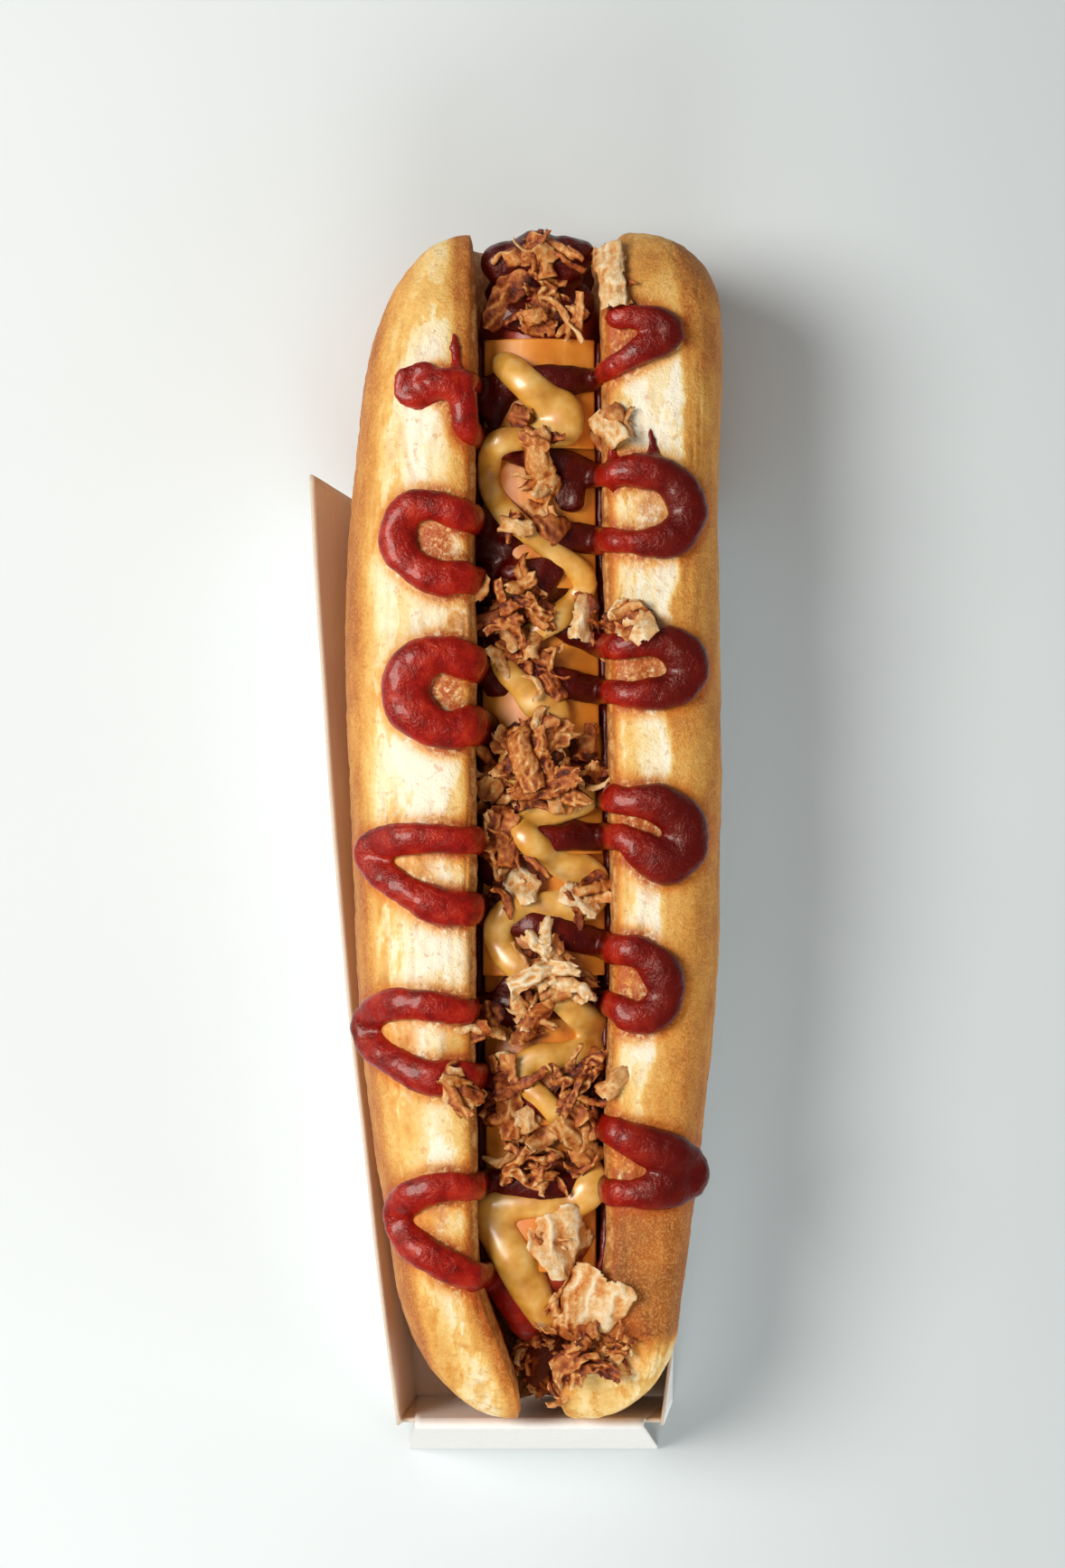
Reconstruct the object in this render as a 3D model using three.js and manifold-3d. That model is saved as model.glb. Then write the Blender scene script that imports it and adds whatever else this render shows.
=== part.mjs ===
// A loaded hot dog in its folded card tray, in millimetres with +Z up and +Y towards the tray's open end.
// The origin is on the tray's flat underside, below the middle of the bun's length.
import * as THREE from "three";
import { ParametricGeometry } from "three/addons/geometries/ParametricGeometry.js";
import { mergeVertices } from "three/addons/utils/BufferGeometryUtils.js";
import Module from "manifold-3d";

const GAP = 0.3; // free space between pieces that touch in the real food
const WELD = 1e-4; // vertices closer than this are one

// Tray: one sheet folded into a tapered scoop. X of its folds and top edges, closed end first.
const CARD = 0.6;
const TRAY = { closedY: -111.8, openY: 61, rake: 4.6, panel: 26, stations: 10 };
const WALL_LEFT = { fold: [-22.9, -32.3], top: [-25.3, -41.7], bow: -2 };
const WALL_RIGHT = { fold: [27.1, 30.5], top: [24.4, 34.4], bow: 4.4 };
const END_FOLD = { left: -21.9, right: 20.7 }; // top fold of the doubled end panel
const END_FOOT = { left: -23.8, right: 24.2, y: -120.3 }; // where its outer half meets the table
const TAB = { length: 13, height: 24.2 }; // corner tabs tucked between the two halves

// Bun: a long roll slit from above. Each list runs from its -Y end to its +Y end.
const BUN = { half: 109.2, baseZ: CARD + GAP, widestZ: 31, slitFloorZ: 12.1, baseNose: 20 };
const REACH_LEFT = [21.5, 25.4, 30, 32.4, 33.5, 34.4, 33.6, 31.6, 31.4];
const REACH_RIGHT = [25, 28.2, 31.5, 34.1, 34.8, 34.7, 34.3, 34.6, 34.5];
const EDGE_LEFT = [0.5, 9.3, 10.1, 10.4, 10.3, 10.3, 10.4, 10.3, 10];
const EDGE_RIGHT = [1.5, 12.8, 13.2, 14.2, 14.2, 13.5, 12.9, 12.6, 12.4];
const CREST_LEFT = [43.5, 45.5, 47.4, 47.8, 48, 48.2, 48, 47.2, 45.5];
const CREST_RIGHT = [43, 44.5, 46, 47.2, 47.6, 47.8, 47.4, 46.8, 45.8];
const LEFT = {
  side: -1, reach: REACH_LEFT, edge: EDGE_LEFT, crest: CREST_LEFT, crestX: 17.5, square: 2.1,
};
const RIGHT = {
  side: 1, reach: REACH_RIGHT, edge: EDGE_RIGHT, crest: CREST_RIGHT, crestX: 20.5, square: 2.8,
};
const NOSES = { left: { low: 26, high: 34 }, right: { low: 17, high: 15 } }; // length of each lobe's rounding
const SKEWS = { left: { low: 0.88, high: 0.93 }, right: { low: 0.7, high: 0.74 } }; // tip, from crust to slit
const BASE_SKEW = 0.5;
const CROWN = { rungs: 4, quarter: Math.PI / 2 }; // from the crest round to the widest line
const SHOULDER = [[2.2, 0.5], [0.7, 2], [0, 4.5]]; // out from the edge, below the crest
const SLIT_TOP = 33; // height at which the slit's wall turns upright
const FLANK = [[0.96, 25], [0.92, 19], [0.84, 9.5], [0.55, BUN.baseZ]]; // share of reach, height
const SLIT_WALL = [[0.6, 28], [0.9, 23], [-1.6, 15.6], [-6.5, 12.6]]; // out from the edge, height
const BUN_STEPS = { nose: 4, middle: 13 };
const RUNGS_PER_LOBE = CROWN.rungs + 1 + FLANK.length;
const TIP_RUNGS = 3; // rungs over which the tip changes from the base's length to the lobe's

// Sausage, lying in the slit.
const SAUSAGE = { x: 1.35, z: 24, radius: 11.3, low: -95, high: 106, taper: 15, sides: 14, steps: 9 };

// Cheese slices, shingled: each one's -Y edge lies over the next.
const SLICE = { thickness: 1.9, sag: 3.2, lap: 1.6, rise: 2.6, high: 89.5 };
const SLICES = [
  { length: 20.3, left: -8.9, right: 11.4 },
  { length: 25.6, left: -9.1, right: 11.6 },
  { length: 26.7, left: -9.2, right: 12.2 },
  { length: 21.9, left: -9, right: 12.9 },
  { length: 22.3, left: -9.1, right: 13.3 },
  { length: 27.2, left: -8.8, right: 12 },
  { length: 27.2, left: -8.6, right: 11.7 },
];

// Ketchup loops, one strand folded out over a lobe: reach, Y of both legs' outer sides, strand radius.
const LOOP = { sides: 6, steps: 9, lift: 0.7, overrun: 1.2, closing: 0.75 };
const CROSSING = { radius: 2.4, flatness: 0.6, sides: 5, lift: 0.2 }; // the strand where it crosses the slit
const LOOPS_RIGHT = [
  { tip: 26.3, high: 92.1, low: 81.9, radius: 2.3 },
  { tip: 30.7, high: 64.7, low: 48.2, radius: 3 },
  { tip: 31.7, high: 35.6, low: 22, radius: 3 },
  { tip: 31.7, high: 7.5, low: -10.3, radius: 3.2 },
  { tip: 27.5, high: -20.2, low: -37.2, radius: 3.2 },
  { tip: 31.6, high: -53.8, low: -67.9, radius: 3.2 },
];
const LOOPS_LEFT = [
  { tip: 25, high: 84.5, low: 71, radius: 3.1 },
  { tip: 27, high: 60.1, low: 42, radius: 3.1 },
  { tip: 26.3, high: 34.3, low: 14.3, radius: 3.4 },
  { tip: 31.8, high: 0.3, low: -17.5, radius: 3 },
  { tip: 32, high: -30.1, low: -47.6, radius: 3 },
  { tip: 27, high: -63.3, low: -83.4, radius: 3.3 },
];

// Mustard, a zigzag over the cheese that pools where it turns.
const MUSTARD = { radius: 2.6, pool: 3.3, flatness: 0.72, sides: 6, lift: 0.5, end: -93 };
const MUSTARD_TURNS = [
  [-6.5, 86], [7.4, 74.8], [-6.5, 69], [-6.8, 60], [9, 45.5], [-6.3, 29.5], [5, 21], [-3, 12], [9, 5],
  [-3, 1], [9.2, -11.5], [-7, -16.5], [-4.5, -25], [9.2, -37], [-1.5, -44], [8.5, -54], [9, -67],
  [-6.5, -71], [3.5, -88],
];

// Fried onion: thin curled flakes. A single flake is thin, and a heap has a low core under its flakes.
const ONION = { thickness: 1.3, lift: 1.3, heapLift: 2.2, singleCells: [2, 4], heapCells: [2, 2] };
const FLAKE = {
  curl: [0.2, 0.45], wave: [0.8, 1.6], ripple: 2.4, twist: 0.25, narrowing: 0.25, notch: 0.15, notches: 3,
};
const HEAP = {
  core: [0.6, 0.45, 2.2], spread: 0.5, across: [0.45, 0.7], along: [0.6, 0.9], turn: 80, tilt: 0.25,
};
const FLAKE_SAMPLES = [-0.3, 0, 0.3]; // where along a flake the surface under it is felt

// Each flake or heap: its middle, size across and along, turn in degrees, and the flakes in a heap.
const ONIONS = [
  { at: [-4.1, 99], size: [4.6, 19], turn: -27 },
  { at: [3.6, 97], size: [8, 9], turn: 20, count: 3 },
  { at: [14.2, 100.2], size: [6.6, 13], turn: 8 },
  { at: [-1.5, 75.4], size: [6, 4.5], turn: 60 },
  { at: [1.3, 66], size: [6.6, 13.5], turn: 15 },
  { at: [13.8, 72.3], size: [5.5, 7.5], turn: 35 },
  { at: [3.1, 55], size: [6.5, 7], turn: 50 },
  { at: [-3, 40.4], size: [8.5, 9], turn: 70, count: 3 },
  { at: [-1.5, 31.4], size: [4.5, 11], turn: 75 },
  { at: [18.2, 37.2], size: [7.5, 9], turn: 40 },
  { at: [9.4, 38.3], size: [5, 8.5], turn: -10 },
  { at: [3.6, 25.4], size: [4.5, 6], turn: 30 },
  { at: [2.2, 12.2], size: [13, 14], turn: 60, count: 3 },
  { at: [-6, -0.6], size: [5, 9], turn: -30 },
  { at: [-2.4, -9.8], size: [7, 9], turn: 25 },
  { at: [8.6, -13.2], size: [5, 8], turn: 65 },
  { at: [4.2, -25.6], size: [10, 12], turn: 60, count: 3 },
  { at: [-8, -35.2], size: [5.5, 7], turn: 10 },
  { at: [0, -35.6], size: [3.5, 11], turn: -40 },
  { at: [-12.8, -47.2], size: [4.5, 9], turn: 60 },
  { at: [-4.6, -49.4], size: [6.5, 16], turn: 10 },
  { at: [8, -46], size: [6, 12], turn: -60, count: 3 },
  { at: [8.2, -57.6], size: [5.5, 12], turn: 40 },
  { at: [-0.6, -61.6], size: [6.5, 9], turn: 20, count: 2 },
  { at: [5.3, -75.6], size: [9.5, 11.5], turn: 10 },
  { at: [10, -87.4], size: [11, 13.5], turn: -25 },
  { at: [9, -96.5], size: [9, 8], turn: 70, count: 3 },
  { at: [3.2, -102.6], size: [5.5, 8], turn: 40 },
];
const DROP_FROM = 120; // height that things are dropped from
const SEED = 7;

const wasm = await Module();
wasm.setup();

// ---- Geometry helpers ----

function toSolid(geometry) {
  const bare = new THREE.BufferGeometry();
  bare.setAttribute("position", geometry.getAttribute("position").clone());
  if (geometry.index) bare.setIndex(geometry.index);
  const merged = mergeVertices(bare, WELD);
  const triVerts = [];
  for (let i = 0; i < merged.index.count; i += 3) {
    const [a, b, c] = merged.index.array.slice(i, i + 3);
    if (a !== b && b !== c && c !== a) triVerts.push(a, b, c);
  }
  const solidOf = (corners) => new wasm.Manifold(new wasm.Mesh({
    numProp: 3,
    vertProperties: merged.attributes.position.array,
    triVerts: new Uint32Array(corners),
  }));
  const solid = solidOf(triVerts);
  return solid.volume() > 0 ? solid : solidOf(triVerts.reverse());
}

function toGeometry(solid) {
  const { numProp, numVert, vertProperties, triVerts } = solid.getMesh();
  const positions = new Float32Array(numVert * 3);
  for (let i = 0; i < numVert; i++) {
    positions.set(vertProperties.subarray(i * numProp, i * numProp + 3), i * 3);
  }
  const geometry = new THREE.BufferGeometry();
  geometry.setAttribute("position", new THREE.BufferAttribute(positions, 3));
  geometry.setIndex(new THREE.BufferAttribute(triVerts, 1));
  geometry.computeVertexNormals();
  return geometry;
}

const union = (solids) => solids.reduce((sum, solid) => sum.add(solid));

// What is left of a solid clear of others, with a gap above them (or, for a negative gap, below them).
function clearedOf(solid, others, gap) {
  const { min, max } = solid.boundingBox();
  const size = max.map((high, i) => high - min[i] + 4 * GAP);
  const box = new THREE.BoxGeometry(...size).translate(...max.map((high, i) => (high + min[i]) / 2));
  const zone = toSolid(box);
  const near = others.map((other) => other.intersect(zone)).filter((part) => !part.isEmpty());
  if (!near.length) return solid;
  const bed = union(near);
  return solid.subtract(bed.add(bed.translate([0, 0, gap])));
}

function largestBody(solid) {
  return solid.decompose().reduce((best, body) => (body.volume() > best.volume() ? body : best));
}

// A closed body through rings of points: pointAt(i, j) is point i of ring j, and both end rings are shut.
function loft(pointAt, around, rings) {
  const place = (u, v, target) => (
    target.copy(pointAt(Math.round(u * around) % around, Math.round(v * rings))));
  return toSolid(new ParametricGeometry(place, around, rings));
}

// Rungs join an outer and an inner path. Walking out along one and back along the other gives a ring.
function ringPoint(rungs, i, share) {
  const back = i >= rungs.length;
  const rung = rungs[back ? 2 * rungs.length - 1 - i : i];
  return rung.middle.clone().lerp(back ? rung.inner : rung.outer, share);
}

const splines = new Map();
function along(values, y) {
  if (!splines.has(values)) {
    splines.set(values, new THREE.SplineCurve(values.map((value, i) => new THREE.Vector2(i, value))));
  }
  const share = THREE.MathUtils.clamp((y / BUN.half + 1) / 2, 0, 1);
  return splines.get(values).getPoint(share).y;
}

function surfaceHeight(meshes, x, y) {
  const ray = new THREE.Raycaster(new THREE.Vector3(x, y, DROP_FROM), new THREE.Vector3(0, 0, -1));
  const hit = ray.intersectObjects(meshes)[0];
  return hit ? hit.point.z : 0;
}

const asMesh = (solid) => new THREE.Mesh(toGeometry(solid), new THREE.MeshBasicMaterial());

function randomFrom(seed) {
  let state = seed;
  return () => {
    state = (Math.imul(state, 1664525) + 1013904223) >>> 0;
    return state / 2 ** 32;
  };
}

// ---- Card tray ----

function wallLine(wall, share) {
  const fold = THREE.MathUtils.lerp(...wall.fold, share);
  const top = THREE.MathUtils.lerp(...wall.top, share) + wall.bow * Math.sin(Math.PI * share);
  const lean = top - fold;
  return { fold, top, topZ: Math.sqrt(TRAY.panel ** 2 - lean ** 2), lean };
}

// The two rungs of one wall: across the card at its top edge and at its fold.
function wallRungs(wall, share) {
  const { fold, top, topZ, lean } = wallLine(wall, share);
  const inward = -Math.sign(wall.fold[0]);
  const normal = new THREE.Vector2(inward * topZ, -inward * lean).divideScalar(TRAY.panel);
  const slide = (CARD * (1 - normal.y)) / (topZ / TRAY.panel);
  const length = TRAY.openY - TRAY.closedY;
  const yFold = TRAY.closedY + share * length;
  const yTop = yFold + share * TRAY.rake;
  const rung = (x, z, innerX, innerZ, y) => ({
    outer: new THREE.Vector3(x, y, z),
    inner: new THREE.Vector3(innerX, y, innerZ),
    middle: new THREE.Vector3((x + innerX) / 2, y, (z + innerZ) / 2),
  });
  return [
    rung(top, topZ, top + CARD * normal.x, topZ + CARD * normal.y, yTop),
    rung(fold, 0, fold + CARD * normal.x + (slide * lean) / TRAY.panel, CARD, yFold),
  ];
}

function trayTrough() {
  const rungsAt = (j) => {
    const share = THREE.MathUtils.clamp((j - 1) / (TRAY.stations - 2), 0, 1);
    return [...wallRungs(WALL_LEFT, share), ...wallRungs(WALL_RIGHT, share).reverse()];
  };
  const open = (j) => (j === 0 || j === TRAY.stations ? 0 : 1);
  return loft((i, j) => ringPoint(rungsAt(j), i, open(j)), 8, TRAY.stations);
}

function cardPanel(outline) {
  const shape = new THREE.Shape(outline.map(([x, z]) => new THREE.Vector2(x, z)));
  return new THREE.ExtrudeGeometry(shape, { depth: CARD, bevelEnabled: false }).rotateX(Math.PI / 2);
}

function endPanels() {
  const foldY = TRAY.closedY;
  const run = foldY - END_FOOT.y;
  const slope = Math.hypot(run, TRAY.panel);
  const foot = [[END_FOOT.left, 0], [END_FOOT.right, 0]];
  const fold = (z) => [[END_FOLD.right, z], [END_FOLD.left, z]];
  const inner = cardPanel([[WALL_LEFT.fold[0] + CARD, CARD / 2], [WALL_RIGHT.fold[0] - CARD, CARD / 2],
    ...fold(TRAY.panel)]).translate(0, foldY + CARD, 0);
  const outer = cardPanel([...foot, ...fold(slope)]).rotateX(-Math.atan2(run, TRAY.panel));
  outer.translate(0, END_FOOT.y + CARD, 0);
  const table = new THREE.BoxGeometry(4 * END_FOOT.right, 4 * run, CARD).translate(0, foldY, -CARD / 2);
  return union([toSolid(inner), toSolid(outer).subtract(toSolid(table))]);
}

function cornerTab(wall) {
  const inward = -Math.sign(wall.fold[0]);
  const { fold, top, topZ } = wallLine(wall, 0);
  const topX = THREE.MathUtils.lerp(fold, top, TAB.height / topZ);
  const outline = [[fold, 0], [fold + inward * TAB.length, 0], [fold + inward * TAB.length, TAB.height],
    [topX, TAB.height]];
  return toSolid(cardPanel(outline).translate(0, TRAY.closedY + CARD / 2, 0));
}

const tray = union([trayTrough(), endPanels(), cornerTab(WALL_LEFT), cornerTab(WALL_RIGHT)]);

// ---- Bun ----

// A lobe's rungs, from its crest down to the flat base, as pairs of [x, z] measured outwards.
function lobePairs(lobe, y) {
  const reach = along(lobe.reach, y);
  const edge = along(lobe.edge, y);
  const crest = along(lobe.crest, y);
  const power = 2 / lobe.square;
  const crown = Array.from({ length: CROWN.rungs + 1 }, (_, k) => {
    const angle = (k / CROWN.rungs) * CROWN.quarter;
    const out = Math.sin(angle) ** power;
    const up = Math.max(0, Math.cos(angle)) ** power;
    return [lobe.crestX + (reach - lobe.crestX) * out, BUN.widestZ + (crest - BUN.widestZ) * up];
  });
  const rounding = SHOULDER.map(([out, down]) => [edge + out, crest - down]);
  const shoulder = [[lobe.crestX, crest], ...rounding, [edge, SLIT_TOP]];
  const outer = [...crown, ...FLANK.map(([share, z]) => [share * reach, z])];
  const inner = [...shoulder, ...SLIT_WALL.map(([out, z]) => [edge + out, z])];
  return outer.map((point, k) => [point, inner[k]]);
}

// How much of rung k belongs to its lobe: 1 high up, falling to 0 at the base under both lobes.
function lobeShare(k) {
  return THREE.MathUtils.clamp((RUNGS_PER_LOBE - k) / TIP_RUNGS, 0, 1);
}

function bunRung(lobe, name, k, y, end) {
  const pairs = lobePairs(lobe, y);
  const point = ([x, z]) => new THREE.Vector3(lobe.side * x, y, z);
  const outer = point(pairs[k][0]);
  const inner = point(pairs[k][1]);
  const anchor = Math.max(k, CROWN.rungs);
  const skew = THREE.MathUtils.lerp(BASE_SKEW, SKEWS[name][end], lobeShare(k));
  const middle = point(pairs[anchor][0]).lerp(point(pairs[anchor][1]), skew);
  return { outer, inner, middle };
}

// Ring j's place for one rung: its Y, how far it has opened from the tip, and which end it is near.
function bunStation(name, k, j) {
  const { nose, middle } = BUN_STEPS;
  const length = (end) => THREE.MathUtils.lerp(BUN.baseNose, NOSES[name][end], lobeShare(k));
  const end = j < nose + middle / 2 ? "low" : "high";
  const fromTip = Math.min(j, 2 * nose + middle - j);
  if (fromTip < nose) {
    const angle = (fromTip / nose) * (Math.PI / 2);
    const reach = BUN.half - length(end) * (1 - Math.cos(angle));
    return { y: end === "low" ? -reach : reach, share: Math.sin(angle), end };
  }
  const y = THREE.MathUtils.lerp(length("low") - BUN.half, BUN.half - length("high"), (j - nose) / middle);
  return { y, share: 1, end };
}

function slitFloorRung(j) {
  const { y, share } = bunStation("left", RUNGS_PER_LOBE, j);
  const outer = new THREE.Vector3(0, y, BUN.baseZ);
  const inner = new THREE.Vector3(SAUSAGE.x, y, BUN.slitFloorZ);
  return { outer, inner, middle: outer.clone().lerp(inner, BASE_SKEW), share };
}

function bunRing(j) {
  const lobeRungs = (lobe, name) => Array.from({ length: RUNGS_PER_LOBE }, (_, k) => {
    const { y, share, end } = bunStation(name, k, j);
    return { ...bunRung(lobe, name, k, y, end), share };
  });
  return [...lobeRungs(LEFT, "left"), slitFloorRung(j), ...lobeRungs(RIGHT, "right").reverse()];
}

function bread() {
  const rings = 2 * BUN_STEPS.nose + BUN_STEPS.middle;
  const rungs = Array.from({ length: rings + 1 }, (_, j) => bunRing(j));
  const shareOf = (i, j) => rungs[j][i < rungs[j].length ? i : 2 * rungs[j].length - 1 - i].share;
  return loft((i, j) => ringPoint(rungs[j], i, shareOf(i, j)), 2 * rungs[0].length, rings);
}

// ---- Sausage ----

function sausage() {
  const { radius, low, high, taper, sides, steps } = SAUSAGE;
  const profile = Array.from({ length: steps + 1 }, (_, i) => {
    const y = THREE.MathUtils.lerp(low, high, (1 - Math.cos((i / steps) * Math.PI)) / 2);
    const fromTip = Math.min(y - low, high - y, taper);
    return new THREE.Vector2(radius * Math.sqrt(1 - (1 - fromTip / taper) ** 2), y);
  });
  profile[0].x = 0;
  profile[steps].x = 0;
  return toSolid(new THREE.LatheGeometry(profile, sides).translate(SAUSAGE.x, 0, SAUSAGE.z));
}

// ---- Sauces ----

// Lays flat [x, y] points on a surface.
function laid(points, surface, lift) {
  return points.map(([x, y]) => new THREE.Vector3(x, y, surfaceHeight(surface, x, y) + lift));
}

// A loop's centre line: out from the slit, round its tip and back, as [x, y] measured outwards.
function loopLine(lobe, { tip, high, low, radius }) {
  const start = along(lobe.edge, low) - LOOP.overrun;
  const middle = (high + low) / 2;
  const bend = (high - low) / 2 - radius;
  const turn = tip - radius - bend;
  const arc = [-90, -45, 0, 45, 90].map(THREE.MathUtils.degToRad);
  const round = arc.map((angle) => [turn + bend * Math.cos(angle), middle - bend * Math.sin(angle)]);
  const closing = LOOP.closing * bend;
  return [[start, middle + closing], ...round, [start, middle - closing]];
}

// A ketchup loop on a lobe, cut off where it drops into the slit.
function ketchupLoop(lobe, loop, surface) {
  const line = loopLine(lobe, loop).map(([x, y]) => [lobe.side * x, y]);
  const [inner, outer] = [line.slice(1, -1), [line[0], line[line.length - 1]]];
  const points = laid(inner, surface, LOOP.lift);
  const ends = outer.map(([x, y], i) => new THREE.Vector3(x, y, points[i * (points.length - 1)].z));
  const path = new THREE.CatmullRomCurve3([ends[0], ...points, ends[1]]);
  const section = new THREE.Shape().absarc(0, 0, loop.radius, 0, 2 * Math.PI);
  const options = { steps: LOOP.steps, curveSegments: LOOP.sides / 2, extrudePath: path };
  const edge = along(lobe.edge, loop.low);
  const slit = new THREE.BoxGeometry(2 * edge, 2 * (loop.high - loop.low), DROP_FROM);
  slit.translate(0, (loop.high + loop.low) / 2, DROP_FROM / 2);
  return toSolid(new THREE.ExtrudeGeometry(section, options)).subtract(toSolid(slit));
}

// A straight flattened length of sauce between two points.
function stroke(from, to, { radius, flatness, sides }) {
  const run = to.clone().sub(from);
  const along = new THREE.Vector3(0, 1, 0);
  const turn = new THREE.Quaternion().setFromUnitVectors(along, run.clone().normalize());
  const length = new THREE.CylinderGeometry(radius, radius, run.length(), sides).applyQuaternion(turn);
  return toSolid(length.scale(1, 1, flatness).translate(...from.clone().addScaledVector(run, 0.5).toArray()));
}

// The mustard: a stroke between each two turns, and a pool at each turn.
function mustardZigzag(surface) {
  const points = laid(MUSTARD_TURNS, surface, MUSTARD.lift);
  const pools = points.map((point) => {
    const pool = new THREE.SphereGeometry(MUSTARD.pool, MUSTARD.sides, MUSTARD.sides / 2);
    return toSolid(pool.rotateX(Math.PI / 2).scale(1, 1, MUSTARD.flatness).translate(...point.toArray()));
  });
  return union([...pools, ...points.slice(1).map((point, i) => stroke(points[i], point, MUSTARD))]);
}

// The ketchup over the filling, from each loop's leg to the next loop's leg across the slit.
function ketchupCrossings(surface) {
  const leg = (lobe, loop, end) => [lobe.side * along(lobe.edge, loop.low), loop[end]
    + (end === "low" ? loop.radius : -loop.radius)];
  const outgoing = LOOPS_RIGHT.map((loop, i) => [leg(RIGHT, loop, "low"), leg(LEFT, LOOPS_LEFT[i], "high")]);
  const returning = LOOPS_RIGHT.slice(1).map((loop, i) => (
    [leg(LEFT, LOOPS_LEFT[i], "low"), leg(RIGHT, loop, "high")]));
  const pairs = [...outgoing, ...returning];
  return union(pairs.map(([from, to]) => {
    const middle = [(from[0] + to[0]) / 2, (from[1] + to[1]) / 2];
    const z = laid([middle], surface, CROSSING.lift)[0].z;
    return stroke(new THREE.Vector3(...from, z), new THREE.Vector3(...to, z), CROSSING);
  }));
}

// ---- Cheese slices ----

function sliceSpan(index) {
  const high = SLICE.high - SLICES.slice(0, index).reduce((sum, slice) => sum + slice.length, 0);
  return { high, low: high - SLICES[index].length };
}

// A flat slice bent over the sausage, its -Y edge raised to lie over the next one.
function slice(index) {
  const { left, right } = SLICES[index];
  const { high, low } = sliceSpan(index);
  const top = index === 0 ? high : high + SLICE.lap;
  const plate = new THREE.BoxGeometry(right - left, top - low, SLICE.thickness, 5, 2, 1);
  plate.translate((left + right) / 2, (top + low) / 2, SLICE.thickness / 2);
  const position = plate.getAttribute("position");
  const rest = SAUSAGE.z + SAUSAGE.radius + GAP;
  for (let i = 0; i < position.count; i++) {
    const across = (position.getX(i) - SAUSAGE.x) / (right - left);
    const raised = index === SLICES.length - 1 ? 0 : (SLICE.rise * (top - position.getY(i))) / (top - low);
    position.setZ(i, position.getZ(i) + rest - 4 * SLICE.sag * across ** 2 + raised);
  }
  return toSolid(plate);
}

// ---- Fried onion ----

// One flake: a thin plate, curled across, waved along and narrowed unevenly, lying about the origin.
function flake(across, length, random, [cellsAcross, cellsAlong]) {
  const plate = new THREE.BoxGeometry(across, length, ONION.thickness, cellsAcross, cellsAlong, 1);
  const position = plate.getAttribute("position");
  const curl = THREE.MathUtils.lerp(...FLAKE.curl, random()) * across;
  const wave = THREE.MathUtils.lerp(...FLAKE.wave, random());
  const phase = 2 * Math.PI * random();
  const twist = THREE.MathUtils.lerp(-FLAKE.twist, FLAKE.twist, random());
  for (let i = 0; i < position.count; i++) {
    const u = (2 * position.getX(i)) / across;
    const v = (2 * position.getY(i)) / length;
    const narrow = 1 - FLAKE.narrowing * v * v - FLAKE.notch * Math.sin(FLAKE.notches * v + phase);
    const lift = curl * (1 - u * u) + wave * Math.sin(FLAKE.ripple * v + phase) + twist * u * v * across;
    position.setXYZ(i, position.getX(i) * narrow, position.getY(i), position.getZ(i) + lift);
  }
  return plate;
}

// A solid from a geometry about the origin, tilted, turned by degrees and moved to its place.
function placed(geometry, { x, y, z }, turn, tilt = 0) {
  return toSolid(geometry.rotateX(tilt).rotateZ(THREE.MathUtils.degToRad(turn)).translate(x, y, z));
}

function onionHeap({ at: [x, y], size: [across, length], turn, count }, height, random) {
  const [coreAcross, coreAlong, coreHeight] = HEAP.core;
  const core = new THREE.SphereGeometry(1, 6, 3).rotateX(Math.PI / 2);
  core.scale(across * coreAcross, length * coreAlong, coreHeight);
  const parts = [placed(core, { x, y, z: height + ONION.lift }, turn)];
  for (let i = 0; i < count; i++) {
    const angle = (2 * Math.PI * i) / count + random();
    const out = i === 0 ? 0 : across * HEAP.spread;
    const spot = { x: x + out * Math.cos(angle), y: y + out * Math.sin(angle), z: height + ONION.heapLift };
    const width = across * THREE.MathUtils.lerp(...HEAP.across, random());
    const reach = length * THREE.MathUtils.lerp(...HEAP.along, random());
    const piece = flake(width, reach, random, ONION.heapCells);
    const heading = turn + THREE.MathUtils.lerp(-HEAP.turn, HEAP.turn, random());
    parts.push(placed(piece, spot, heading, THREE.MathUtils.lerp(-HEAP.tilt, HEAP.tilt, random())));
  }
  return union(parts);
}

function onion(spot, surface, random) {
  const { at: [x, y], size: [across, length], turn } = spot;
  const heading = THREE.MathUtils.degToRad(turn);
  const height = Math.max(...FLAKE_SAMPLES.map((v) => (
    surfaceHeight(surface, x - v * length * Math.sin(heading), y + v * length * Math.cos(heading)))));
  if (spot.count) return onionHeap(spot, height, random);
  return placed(flake(across, length, random, ONION.singleCells), { x, y, z: height + ONION.lift }, turn);
}

// ---- Assembly ----

const plainLink = sausage();
const plainBun = bread();
const plainBunMesh = asMesh(plainBun);

const loops = [[LEFT, LOOPS_LEFT], [RIGHT, LOOPS_RIGHT]].flatMap(([lobe, list]) => (
  list.map((loop) => ketchupLoop(lobe, loop, [plainBunMesh]))));
const bun = largestBody(union([plainBun, ...loops]));

const plainSlices = SLICES.map((_, index) => slice(index));
const fillingMeshes = [union(plainSlices), plainLink].map(asMesh);
const sauces = union([mustardZigzag(fillingMeshes), ketchupCrossings(fillingMeshes)]);

// What of the sauces lies over one stretch of the filling.
function saucesOver({ left, right }, { low, high }) {
  const height = 2 * SLICE.thickness + 4 * MUSTARD.pool;
  const zone = new THREE.BoxGeometry(right - left - GAP, high - low - 2 * GAP, height);
  zone.translate((left + right) / 2, (high + low) / 2, SAUSAGE.z + height / 2);
  return sauces.intersect(toSolid(zone));
}

const slices = [];
SLICES.forEach((shape, index) => {
  const dressed = plainSlices[index].add(saucesOver(shape, sliceSpan(index)));
  slices.push(largestBody(clearedOf(dressed, [plainLink, ...slices.slice(-1)], -GAP)));
});

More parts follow.
